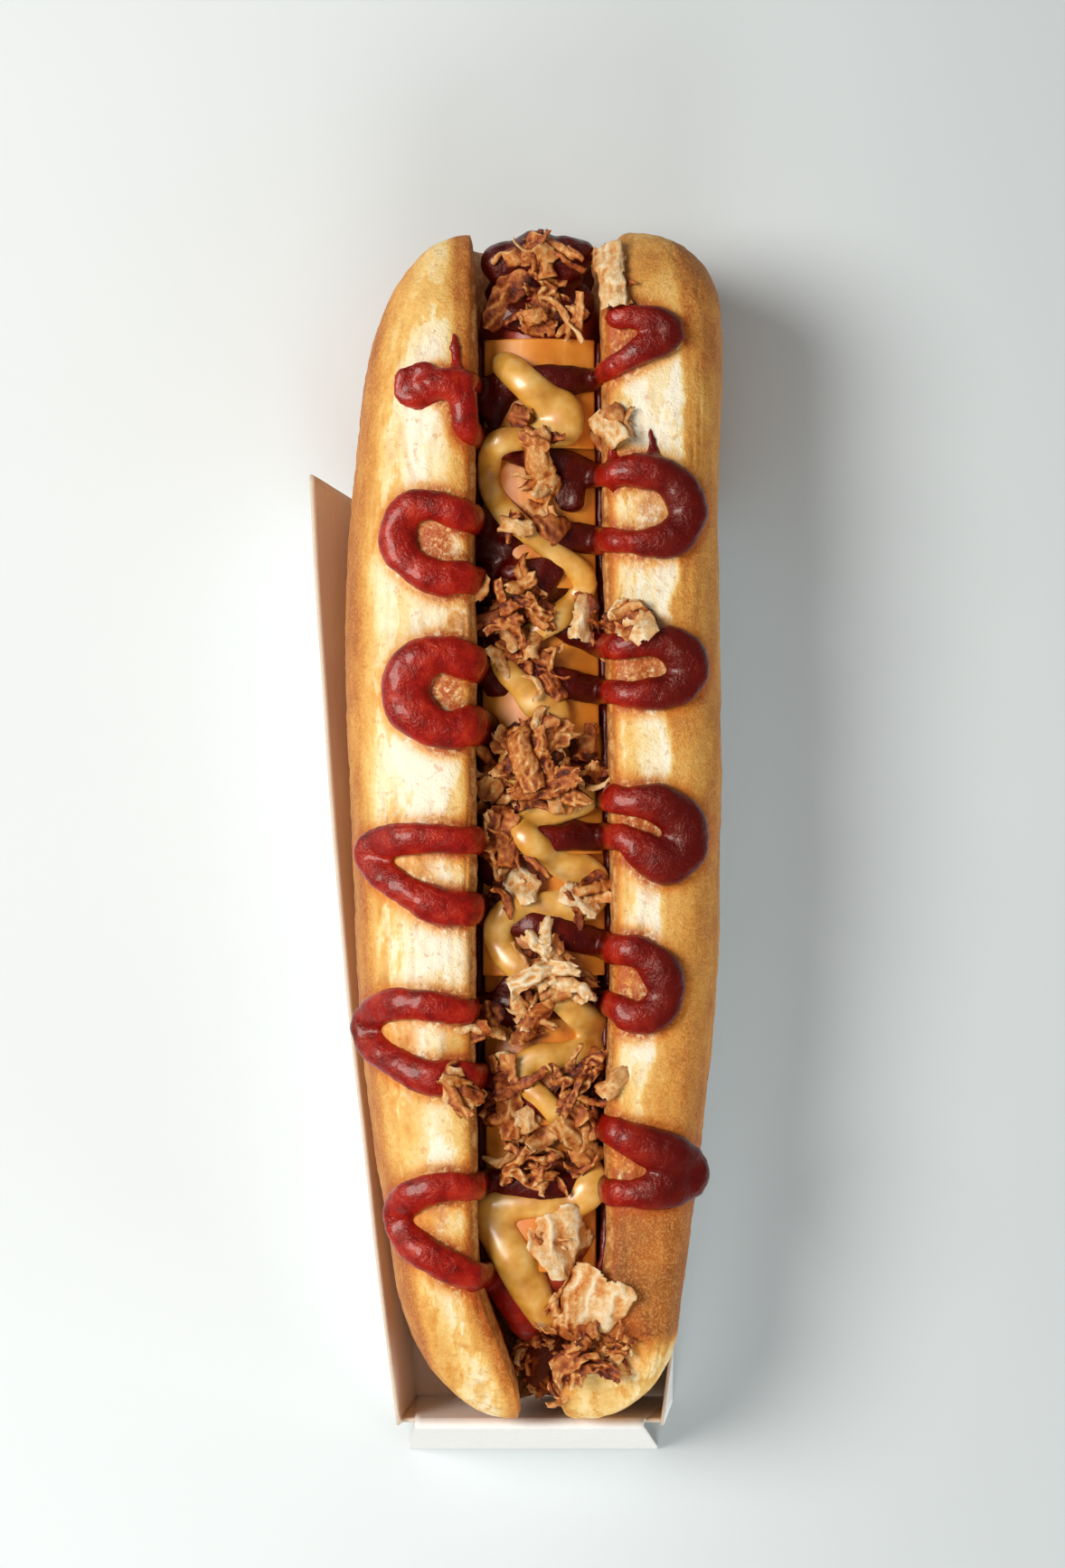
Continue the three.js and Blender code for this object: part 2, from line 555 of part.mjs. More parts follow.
const lastSlice = SLICES[SLICES.length - 1];
const bareEnd = { low: MUSTARD.end, high: sliceSpan(SLICES.length - 1).low };
const link = largestBody(plainLink.add(saucesOver(lastSlice, bareEnd)));

const random = randomFrom(SEED);
const placedSolids = [bun, link, ...slices];
const placedMeshes = placedSolids.map(asMesh);
const onions = ONIONS.map((spot) => {
  const piece = largestBody(clearedOf(onion(spot, placedMeshes, random), placedSolids, 2 * GAP));
  placedSolids.push(piece);
  placedMeshes.push(asMesh(piece));
  return piece;
});

// ---- Scene graph ----

const hotDog = new THREE.Group();

function addMesh(name, solid, color, roughness) {
  const material = new THREE.MeshStandardMaterial({ color, roughness, metalness: 0 });
  const mesh = new THREE.Mesh(toGeometry(solid), material);
  mesh.name = name;
  hotDog.add(mesh);
}

addMesh("tray", tray, "#b88968", 0.8);
addMesh("bun", bun, "#f0cf92", 0.75);
addMesh("sausage", link, "#8f3322", 0.35);
slices.forEach((solid, i) => addMesh(`cheese_${i + 1}`, solid, "#dc8a2e", 0.4));
onions.forEach((solid, i) => addMesh(`onion_${i + 1}`, solid, "#c08850", 0.7));

export default hotDog;
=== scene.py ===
"""A loaded hot dog in its folded card tray: bread, sausage, cheese, sauces and fried onion."""

import math
from types import SimpleNamespace

import bmesh
import bpy
from mathutils import Euler, Matrix, Vector, noise
from mathutils.bvhtree import BVHTree
from mathutils.kdtree import KDTree


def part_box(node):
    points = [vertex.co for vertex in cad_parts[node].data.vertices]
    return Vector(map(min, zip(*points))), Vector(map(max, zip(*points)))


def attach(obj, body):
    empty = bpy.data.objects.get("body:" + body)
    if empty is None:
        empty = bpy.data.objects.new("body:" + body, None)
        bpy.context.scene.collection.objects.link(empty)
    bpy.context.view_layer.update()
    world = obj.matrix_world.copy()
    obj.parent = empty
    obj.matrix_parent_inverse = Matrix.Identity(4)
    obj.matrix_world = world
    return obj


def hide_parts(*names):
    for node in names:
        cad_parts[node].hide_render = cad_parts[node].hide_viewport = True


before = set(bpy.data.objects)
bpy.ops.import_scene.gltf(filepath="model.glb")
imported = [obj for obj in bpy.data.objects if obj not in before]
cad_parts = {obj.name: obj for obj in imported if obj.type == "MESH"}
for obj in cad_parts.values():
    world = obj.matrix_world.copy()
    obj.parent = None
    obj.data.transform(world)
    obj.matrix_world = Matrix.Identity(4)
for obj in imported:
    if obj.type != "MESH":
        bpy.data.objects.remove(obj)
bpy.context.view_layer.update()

# ---- Sizes, in millimetres, with +Y towards the tray's open end and +Z up ----

MM = 0.001
GAP = 0.3  # free space between pieces that touch in the real food

# Tray: one sheet folded into a tapered scoop. A wall has the X of its fold and of its top edge at the closed
# and the open end, and how far its top edge bows out between them.
CARD = 0.6
TRAY = SimpleNamespace(closed_y=-111.8, open_y=61, rake=4.6, panel=26)
WALL_LEFT = SimpleNamespace(fold=(-22.9, -32.3), top=(-25.3, -41.7), bow=-2)
WALL_RIGHT = SimpleNamespace(fold=(27.1, 30.5), top=(24.4, 34.4), bow=4.4)
# The doubled end panel: the X of its top fold, how far that bends in, and where it meets the table.
END_FOLD = (-21.9, 20.7)
END_BEND = 0.7
END_FOOT = (-23.8, 24.2)
END_FOOT_Y = -120.3
TAB = SimpleNamespace(length=13, height=24.2)
KRAFT, WHITE, EDGE = range(3)  # the card's finishes, by their place in the tray's list

# Bun: a long roll slit from above. Each list runs from its -Y end to its +Y end.
BUN_HALF = 109.2
BUN_BASE_Z = CARD + GAP
BUN_WIDEST_Z = 31
BUN_BASE_NOSE = 20
SLIT_FLOOR_Z = 12.1
SLIT_TOP_Z = 33
# A lobe has a reach outwards, the slit's edge and a crest, a more or less square section and a rounded nose
# at each end. It gets browner towards its ends, each as an amount and the Y where that starts and where it
# is full, and on its side, and more than other crust at its -Y end.
LEFT = SimpleNamespace(
    side=-1,
    reach=(21.5, 25.4, 30, 32.4, 33.5, 34.4, 33.6, 31.6, 31.4),
    edge=(0.5, 9.3, 10.1, 10.4, 10.3, 10.3, 10.4, 10.3, 10),
    crest=(43.5, 45.5, 47.4, 47.8, 48, 48.2, 48, 47.2, 45.5),
    crest_x=17.5,
    square=2.1,
    nose=(26, 34),
    skew=(0.88, 0.93),
    brown_ends=((0.08, -60, -84), (0.16, -86, -98), (0.42, 74, 104)),
    brown_side=0.86,
    browner_low=0,
)
RIGHT = SimpleNamespace(
    side=1,
    reach=(25, 28.2, 31.5, 34.1, 34.8, 34.7, 34.3, 34.6, 34.5),
    edge=(1.5, 12.8, 13.2, 14.2, 14.2, 13.5, 12.9, 12.6, 12.4),
    crest=(43, 44.5, 46, 47.2, 47.6, 47.8, 47.4, 46.8, 45.8),
    crest_x=20.5,
    square=2.8,
    nose=(17, 15),
    skew=(0.7, 0.74),
    brown_ends=((0.55, 80, 98), (0.66, -60, -74)),
    brown_side=0.76,
    browner_low=0.12,
)
# How far out the right lobe turns brown, along the bun.
BROWN_FROM = (14, 13, 19.5, 23, 24.2, 24.8, 26.4, 27.3, 26)
# How brown the left lobe gets beside the slit towards its ends.
LEFT_RIM_ENDS = ((0.5, 56, 76), (0.42, -68, -80))
MOST_BAKED = 0.86
BASE_BAKED = 0.85
LUMPS = ((0.45, 22), (0.2, 6), (0.08, 2.2))  # height and size of the crust's unevenness
# Points of a lobe's outline past its crown, and how many cuts the mesh has between two of them.
SHOULDER = ((2.2, 0.5), (0.7, 2), (0, 4.5))  # out from the slit's edge, and down from the crest
FLANK = ((0.96, 25), (0.92, 19), (0.84, 9.5), (0.55, BUN_BASE_Z))  # share of the reach, and Z
SLIT_WALL = ((0.6, 28), (0.9, 23), (-1.6, 15.6), (-6.5, 12.6))  # out from the slit's edge, and Z
CROWN_RUNGS = 4
LAST_RUNG = CROWN_RUNGS + 1 + len(FLANK)
CROWN_CUTS = 9
FLANK_CUTS = 4
NOSE_STEPS = 4
MIDDLE_STEPS = 13
BUN_RINGS = 330

# Sausage, lying in the slit.
SAUSAGE = SimpleNamespace(x=1.35, z=24, radius=11.3, low=-95, high=106, taper=15)

# Cheese slices, shingled: each one's -Y edge lies over the next. A slice's length and the X of its sides.
SLICE = SimpleNamespace(thickness=1.9, sag=3.2, lap=1.6, rise=2.6, high=89.5)
SLICE_ROUNDING = 0.28
SLICES = (
    (20.3, -8.9, 11.4),
    (25.6, -9.1, 11.6),
    (26.7, -9.2, 12.2),
    (21.9, -9, 12.9),
    (22.3, -9.1, 13.3),
    (27.2, -8.8, 12),
    (27.2, -8.6, 11.7),
)

# Ketchup: one strand folded to and fro over both lobes, as X, Y and radius, a row for each fold.
KETCHUP_FOLDS = (
    (
        (12.9, 91.9, 2), (17.6, 92.1, 2.1), (22.6, 91.4, 2.6), (24.3, 88.9, 2.9), (20.5, 86.6, 2.6),
        (15.5, 83.8, 2.1), (12, 82, 2),
    ),
    (
        (-9.8, 80.6, 1.9), (-14, 80.4, 2.6), (-18.6, 79.9, 2.6), (-18.2, 79.7, 2.6),
        (-14.6, 79.3, 2.6), (-12.4, 77, 2.4), (-11.6, 71.6, 2.1),
    ),
    (
        (13.9, 63.7, 2.2), (18.1, 64.4, 2.7), (23.9, 63.2, 3.1), (27.2, 60, 3.2), (28, 56, 3.2),
        (25.5, 52.3, 3.4), (20.8, 51.3, 2.6), (16, 51.6, 2),
    ),
    (
        (-12.6, 56.2, 2.8), (-17.8, 58, 2.8), (-22.2, 57.5, 2.9), (-24.2, 53.9, 3), (-23.8, 49.8, 3.1),
        (-20.8, 46.6, 3.2), (-16.5, 44.8, 3.2), (-12.1, 45, 3),
    ),
    (
        (15.2, 32.5, 2.3), (20.6, 33.8, 2.9), (25.5, 32.5, 3.4), (28.3, 28.9, 3.4), (26, 25.1, 3.3),
        (20.8, 24, 2.7), (16, 24.2, 2.2),
    ),
    (
        (-10.6, 29.4, 3), (-14.6, 31, 3.3), (-19.2, 30.6, 3.4), (-22.4, 27.4, 3.7), (-22.7, 22.8, 3.9),
        (-19.6, 19.1, 3.8), (-14.9, 17.4, 3.5), (-10.6, 18.2, 3.2),
    ),
    (
        (15.2, 5, 2.4), (19.1, 4.7, 2.9), (23.5, 3.9, 3.7), (27.3, 0.6, 4), (27.2, -4.1, 4),
        (23.7, -6.3, 4), (19.5, -4, 3.2), (15.8, -1.8, 2.3),
    ),
    (
        (-11, -2.4, 2.5), (-17.8, -2, 2.6), (-25.2, -2.4, 2.7), (-29.6, -4, 2.6), (-27.6, -7.9, 2.8),
        (-22.7, -11.5, 2.9), (-17, -14.3, 3), (-11.4, -14.8, 2.8),
    ),
    (
        (14.9, -22.1, 2.4), (19, -22.5, 2.9), (23, -25.7, 3.2), (24.2, -30, 3.3), (21.9, -33.7, 3.3),
        (18.1, -34.3, 3), (14.6, -32.3, 2.5),
    ),
    (
        (-11.9, -33.2, 2.4), (-19.5, -32.1, 2.6), (-26, -32.3, 2.7), (-30, -35.4, 2.7),
        (-28.6, -39.6, 2.8), (-24, -43, 2.9), (-18.1, -45.3, 3), (-13.2, -44.6, 2.6),
    ),
    (
        (13.9, -54.8, 2.4), (18.5, -56.8, 2.9), (23.9, -59, 4), (28, -61.6, 4), (28, -63.6, 3.9),
        (24.4, -65, 3.7), (20.1, -66.2, 2.7), (15.2, -66.2, 2.4),
    ),
    (
        (-9.6, -65.3, 2.5), (-15.4, -64.9, 2.8), (-21.2, -66.5, 2.9), (-24.4, -70.4, 3),
        (-21.7, -75.2, 3), (-16.5, -78.7, 3), (-10.6, -81.5, 3), (-5.8, -84.4, 3), (-3.2, -88.4, 3),
        (-1.2, -92.4, 2.6), (0.6, -96, 1.8),
    ),
)
CROSSING_RADIUS = 2.6  # of the strand where it crosses the slit
# What a strand's radii are multiplied by, how high its middle lies, and how flat it is.
KETCHUP = SimpleNamespace(width=1.12, lift=0.8, flatness=0.58)
MUSTARD = SimpleNamespace(width=1.24, lift=0.4, flatness=0.66)
SAUCE_CELL = 0.52  # cell size of the sauces' skins
# How far a thin run of sauce lies inside each edge of the slit, its height and its radius.
SLIT_RUNS = ((LEFT, 0.5, 34.2, 1), (RIGHT, 0.3, 34.4, 1))
# Sauce over the sausage's +Y end, as X, Y, Z and half widths.
END_SAUCE = ((-4.8, 104, 32.6, 5, 4, 3.4), (0.6, 105.4, 33.4, 6.5, 4, 3.6), (6.2, 104.6, 34.4, 5.2, 4.2, 3.4))
# Thin drips, as X, Y and radius.
KETCHUP_DRIPS = (
    ((-13.4, 80, 1.8), (-13.9, 85, 1.2), (-14.3, 90, 0.9)),
    ((22.2, 64, 1.6), (21.6, 69, 1.2), (21, 73.4, 0.9)),
    ((14.6, 60, 1.6), (14.4, 66, 1.3), (14.9, 71, 0.8)),
    ((24.5, -58, 1.6), (25.6, -55, 0.9)),
    ((-10.4, 48, 2.4), (-4, 46.4, 3), (2.5, 44, 2.8), (9, 42.2, 2.2)),
)
# Where it has run together in the slit: X, Y and both half widths.
KETCHUP_POOLS = (
    (1, 93.8, 9, 3.6), (1, 101, 9, 4), (-20.2, 79.8, 5.2, 4.3), (-6.6, 52, 6, 4.4), (-3.7, -32.2, 3.6, 5.4),
    (2.5, 102, 4, 3.6), (9, 101.5, 2.6, 4.6), (9.2, 96.5, 2.4, 4), (-6.6, 77.5, 3.8, 4.4), (7, 61, 3, 3.6),
    (0, 46.6, 6, 3), (-5, 36, 5, 3.4), (-8, 8, 2.4, 8), (8, -1.5, 3, 3), (5, -66.5, 3.4, 2),
    (-7.6, -6, 2.2, 5.6), (-4.6, 15.5, 4.4, 2.6), (-6.4, 26, 3, 2.8), (-6.8, 98, 2.4, 3), (-1.5, 100, 4, 4),
    (6, 96, 3, 4),
)

# Mustard: one zigzag over the cheese, as X, Y and radius.
MUSTARD_ROUTE = (
    (-7.3, 86.4, 2.5), (-4.5, 84.1, 2.5), (-1.2, 80.9, 2.5), (2.2, 77.9, 2.9), (5.1, 75.6, 3.6),
    (5.5, 73, 3.3), (1.8, 71.5, 2.2), (-2.8, 70.8, 2.1), (-6.5, 69.8, 2.1), (-8, 66.2, 2),
    (-7.3, 61.2, 2), (-4.5, 56.9, 2), (0.2, 52.9, 1.9), (4.8, 49.6, 1.9), (9.3, 45.8, 2),
    (8.5, 42.1, 2.2), (5.1, 38.5, 2.2), (-0.7, 34.8, 1.9), (-5.3, 31.2, 1.9), (-4.8, 28.5, 2),
    (-1.8, 25.5, 2.2), (1.2, 22.4, 2.9), (4.8, 20.6, 2.2), (0.5, 15.9, 2), (-3.8, 11.4, 2.4),
    (2.2, 7.6, 2), (9.8, 5.3, 2.2), (2.5, 1.8, 2), (-2.2, 0, 2), (1.5, -4.3, 2.5),
    (6.5, -7, 2.8), (10.9, -9.8, 3), (9.8, -13.6, 2.9), (4.8, -14.9, 2.8), (-0.7, -14.4, 2.2),
    (-5.5, -16.2, 2.2), (-6.3, -20.2, 2.5), (-4.1, -24.2, 2.4), (0.2, -27.5, 2), (4.1, -30.7, 2),
    (7.8, -33.8, 2.4), (11.8, -37.1, 2.9), (14.4, -39.3, 2.9), (11.1, -41.3, 2.5), (5.5, -42.3, 2.5),
    (0.2, -42.6, 2.3), (-2.5, -45.8, 2), (1.8, -49.4, 1.8), (5.8, -54.1, 1.8), (8.5, -58.2, 2),
    (10.1, -62.3, 2.2), (10.8, -65.8, 2.8), (7.8, -68.8, 2.6), (3.2, -69.1, 2.1), (-1.8, -69.3, 2.2),
    (-6.6, -70, 2.9), (-7.3, -72.6, 3), (-5, -76.6, 3.2), (-2.5, -80.9, 3.3), (0, -85.9, 3.1),
    (2.2, -90.5, 2.6), (3.8, -94.2, 2),
)

# Fried onion: middle, size across and along, turn in degrees, and flakes in a heap (0 for a single one).
ONIONS = (
    (-4.1, 99, 6.2, 18, -27, 0),
    (3.6, 97, 8, 9, 20, 3),
    (14.2, 100.2, 6.6, 13, 8, 0),
    (-2.5, 74.6, 5, 4, 60, 0),
    (1.3, 66, 6.6, 13.5, 15, 0),
    (13.8, 72.3, 5.5, 7.5, 35, 0),
    (3.1, 55, 6.5, 7, 50, 0),
    (-3, 40.4, 8.5, 9, 70, 3),
    (-1.5, 31.4, 4.5, 11, 75, 0),
    (18.2, 37.2, 7.5, 9, 40, 0),
    (9.4, 38.3, 5, 8.5, -10, 0),
    (3.6, 25.4, 4.5, 6, 30, 0),
    (2.2, 12.2, 13, 14, 60, 3),
    (-6, -0.6, 5, 9, -30, 0),
    (-2.4, -9.8, 7, 9, 25, 0),
    (8.6, -13.2, 5, 8, 65, 0),
    (4.2, -25.6, 10, 12, 60, 3),
    (-8, -35.2, 5.5, 7, 10, 0),
    (0, -35.6, 3.5, 11, -40, 0),
    (-12.8, -47.2, 4.5, 9, 60, 0),
    (-4.6, -49.4, 6.5, 16, 10, 0),
    (8, -46, 6, 12, -60, 3),
    (8.2, -57.6, 5.5, 12, 40, 0),
    (-0.6, -61.6, 6.5, 9, 20, 2),
    (5.6, -75.9, 11.5, 13.5, 10, 0),
    (10.4, -87.8, 12.5, 15, -25, 0),
    (9, -96.5, 9, 8, 70, 3),
    (3.2, -102.6, 5.5, 8, 40, 0),
)
# The pale flakes, by their place in the list.
PALE_ONIONS = (2, 5, 9, 10, 14, 15, 16, 24, 25)
SEEDS = SimpleNamespace(onion=7, onion_tone=23, crumbs=31, crumb_tone=24)
# A spot lies inside a loop of ketchup when this many strand points lie within reach of it.
RINGED_POINTS = (23, 37)
RINGED_REACH = 8.5
STAIN_REACH = (1.2, 9)  # outside and inside a loop
# Where sauce has soaked into the bread: X, Y, reach and how deeply.
SPILLS = ((15, -94, 9, 0.45), (-18.6, 51.3, 6, 1), (-16, 24, 5.5, 0.95), (-13, 37, 3.5, 0.6))
# Small flakes round the large ones: X, Y, both half widths, how many, and their size.
SCATTER = (
    (1, 104, 7, 3, 12, 0.8), (4, 95, 5, 5, 9, 1), (13.5, 99, 3, 6, 3, 0.7), (1.5, 66, 3.5, 6, 6, 0.8),
    (14.5, 71.5, 3, 3, 3, 0.9), (1, 55, 6, 3, 6, 0.9), (-3, 40, 8, 6, 18, 1), (10.5, 37.5, 3, 4, 4, 0.9),
    (18, 37, 4, 4, 6, 0.8), (-1.5, 31, 6, 3, 7, 0.9), (3.5, 27, 3, 2.5, 3, 0.7), (1.3, 11, 12, 8.5, 40, 1),
    (-7.2, -1, 4, 4.5, 8, 1), (-2.5, -10, 4, 5, 8, 1), (9.5, -13.5, 4, 2.5, 4, 1),
    (4.3, -26, 6.5, 4.5, 13, 0.9), (-9.5, -35.5, 3, 3.5, 4, 1), (-0.5, -36, 5, 3.5, 6, 1),
    (-12.5, -47.5, 4, 3, 4, 1), (-4.8, -50, 4, 8, 12, 1), (8.5, -47, 7, 5, 14, 1), (8, -57.5, 5, 6, 8, 1),
    (0, -61, 5, 5, 9, 0.9), (5.4, -76, 4, 5, 3, 0.6), (11, -88, 4, 5, 4, 0.6), (9, -94, 8, 4, 26, 0.5),
    (1, -98, 4, 4, 14, 0.7), (3.4, -102, 3, 5, 22, 0.6), (14, -94, 6, 4, 14, 0.4), (6, -89, 4, 5, 12, 0.6),
)
SKY_Z = 120  # height from which the ground is felt for
FOLD_SIZE = 1.4  # of a flake's smallest pleats
TORN_PAST = 0.84  # a spot of a flake that is worn more than this is torn off
TORN_MOST = 0.45  # the share of a flake that may be torn off
RIDGE_HEIGHT = 0.3  # of a ridge that counts as 1
HOLLOW_CELL = 1.2
HOLLOW_DEPTH = 3  # of a hollow that counts as 1
STEEPEST = 0.7  # slope that a flake leans with
SLIT_LOW_Z = 14  # flakes that would lie lower are left out
# Crumbs fill the slit up to this height, past this Y, round a core: X, Y, Z and half widths.
CRUMB_FILL_Y = -92
CRUMB_FILL_Z = 24
CRUMB_CORE = (2.6, -98.5, 20, 5, 8.5, 5)

CAMERA = SimpleNamespace(y=7.8, z=700, lens=83.0, sensor=36.0)
TABLE_HALF = 2500
TABLE_GAP = 0.3  # keeps the table top clear of the tray's underside

# ---- Numbers ----


def clamp(value, low=0.0, high=1.0):
    return max(low, min(high, value))


def mix(a, b, share):
    return a + (b - a) * share


def ease(low, high, value):
    """0 before low, 1 past high and smooth between them. Low may be the larger."""
    share = clamp((value - low) / (high - low))
    return share * share * (3 - 2 * share)


def spline(points, t):
    """The Catmull-Rom curve that passes point i at t = i."""
    last = len(points) - 1
    i = min(int(t), last - 1)
    f = t - i
    a, b, c, d = (points[int(clamp(n, 0, last))] for n in (i - 1, i, i + 1, i + 2))
    start, end = (c - a) * 0.5, (d - b) * 0.5
    bend = (b - c) * 2 + start + end
    return bend * f**3 + ((c - b) * 3 - start * 2 - end) * f**2 + start * f + b


def along(values, y):
    """The value at a Y of a list that runs evenly along the bun."""
    return spline(values, clamp((y / BUN_HALF + 1) / 2) * (len(values) - 1))


class Draw:
    """A repeatable row of random numbers."""

    def __init__(self, seed):
        self.state = seed

    def __call__(self, low=0.0, high=1.0):
        self.state = (self.state * 1664525 + 1013904223) % 2**32
        return mix(low, high, self.state / 2**32)


def grain(point, size, stretch=(1, 1, 1)):
    """Smooth noise from about -1 to 1, with lumps of the given size."""
    return noise.noise(Vector([c / (size * s) for c, s in zip(point, stretch)]))


def unevenness(point, layers):
    """The sum of layers of grain, each with its height, its size and how it is stretched."""
    return sum(tall * grain(point, *form) for tall, *form in layers)


# ---- Meshes ----


def sheet(across, rows, place):
    """A grid whose vertices are put where place(u, v) says, with u and v from 0 to 1."""
    mesh = bmesh.new()
    bmesh.ops.create_grid(mesh, x_segments=across, y_segments=rows, size=0.5)
    for vertex in mesh.verts:
        vertex.co = place(vertex.co.x + 0.5, vertex.co.y + 0.5)
    return mesh


def welded(mesh, distance=1e-4):
    bmesh.ops.remove_doubles(mesh, verts=mesh.verts, dist=distance)
    bmesh.ops.dissolve_degenerate(mesh, edges=mesh.edges, dist=distance)
    bmesh.ops.recalc_face_normals(mesh, faces=mesh.faces)
    return mesh


def joined(meshes):
    """One mesh made of several, which are used up."""
    whole = bmesh.new()
    for mesh in meshes:
        data = bpy.data.meshes.new("joining")
        mesh.to_mesh(data)
        mesh.free()
        whole.from_mesh(data)
        bpy.data.meshes.remove(data)
    return whole


def tree_of(*meshes):
    return [BVHTree.FromBMesh(mesh) for mesh in meshes]


def height(trees, x, y):
    """Z of the highest surface under a point, or 0."""
    hits = [tree.ray_cast(Vector((x, y, SKY_Z)), Vector((0, 0, -1)))[0] for tree in trees]
    return max([hit.z for hit in hits if hit] or [0])


def roughened(mesh, amount):
    """Moves every vertex along its normal by amount(point, normal), in millimetres."""
    mesh.normal_update()
    moves = [(vertex, vertex.normal * amount(vertex.co, vertex.normal)) for vertex in mesh.verts]
    for vertex, move in moves:
        vertex.co += move
    mesh.normal_update()
    return mesh


def lumpy(mesh, *layers):
    return roughened(mesh, lambda point, normal: unevenness(point, layers))


def marked(mesh, name, value):
    """Gives every vertex a named value from its place."""
    layer = mesh.verts.layers.float.new(name)
    for vertex in mesh.verts:
        vertex[layer] = value(vertex.co)
    return mesh


def piece(mesh, name, nodes=(), materials=()):
    """A finished object that rides on the food's one body and stands for the given nodes."""
    bmesh.ops.scale(mesh, vec=(MM, MM, MM), verts=mesh.verts)
    for face in mesh.faces:
        face.smooth = True
    data = bpy.data.meshes.new(name)
    mesh.to_mesh(data)
    mesh.free()
    made = bpy.data.objects.new(name, data)
    bpy.context.scene.collection.objects.link(made)
    for material in materials:
        data.materials.append(material)
    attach(made, "root")
    if nodes:
        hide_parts(*nodes)
    return made


def fused(mesh, voxel):
    """One closed skin over overlapping bodies, at the given cell size."""
    data = bpy.data.meshes.new("fusing")
    mesh.to_mesh(data)
    mesh.free()
    body = bpy.data.objects.new("fusing", data)
    bpy.context.scene.collection.objects.link(body)
    remesh = body.modifiers.new("fuse", "REMESH")
    remesh.mode = "VOXEL"
    remesh.voxel_size = voxel
    shown = body.evaluated_get(bpy.context.evaluated_depsgraph_get())
    skin = bmesh.new()
    skin.from_mesh(shown.data)
    bpy.data.objects.remove(body)
    bpy.data.meshes.remove(data)
    return skin


def softened(mesh, passes, factor=0.5):
    axes = {"use_axis_x": True, "use_axis_y": True, "use_axis_z": True}
    for _ in range(passes):
        bmesh.ops.smooth_vert(mesh, verts=mesh.verts, factor=factor, **axes)
    return mesh


# ---- Materials ----


class Amount:
    """A number that varies over a surface. Sums of it add Math nodes."""

    def __init__(self, shader, socket):
        self.shader = shader
        self.socket = socket

    def sum(self, operation, *others):
        return self.shader.amount("Math", {"operation": operation}, dict(enumerate([self, *others])))

    def __add__(self, other):
        return self.sum("ADD", other)

    def __sub__(self, other):
        return self.sum("SUBTRACT", other)

    def __rsub__(self, other):
        return (self * -1) + other

    def __mul__(self, other):
        return self.sum("MULTIPLY", other)

    __radd__ = __add__
    __rmul__ = __mul__


def tint(code):
    """A linear colour from its #rrggbb code."""
    parts = [int(code[i : i + 2], 16) / 255 for i in (1, 3, 5)]
    return [p / 12.92 if p <= 0.04045 else ((p + 0.055) / 1.055) ** 2.4 for p in parts] + [1.0]


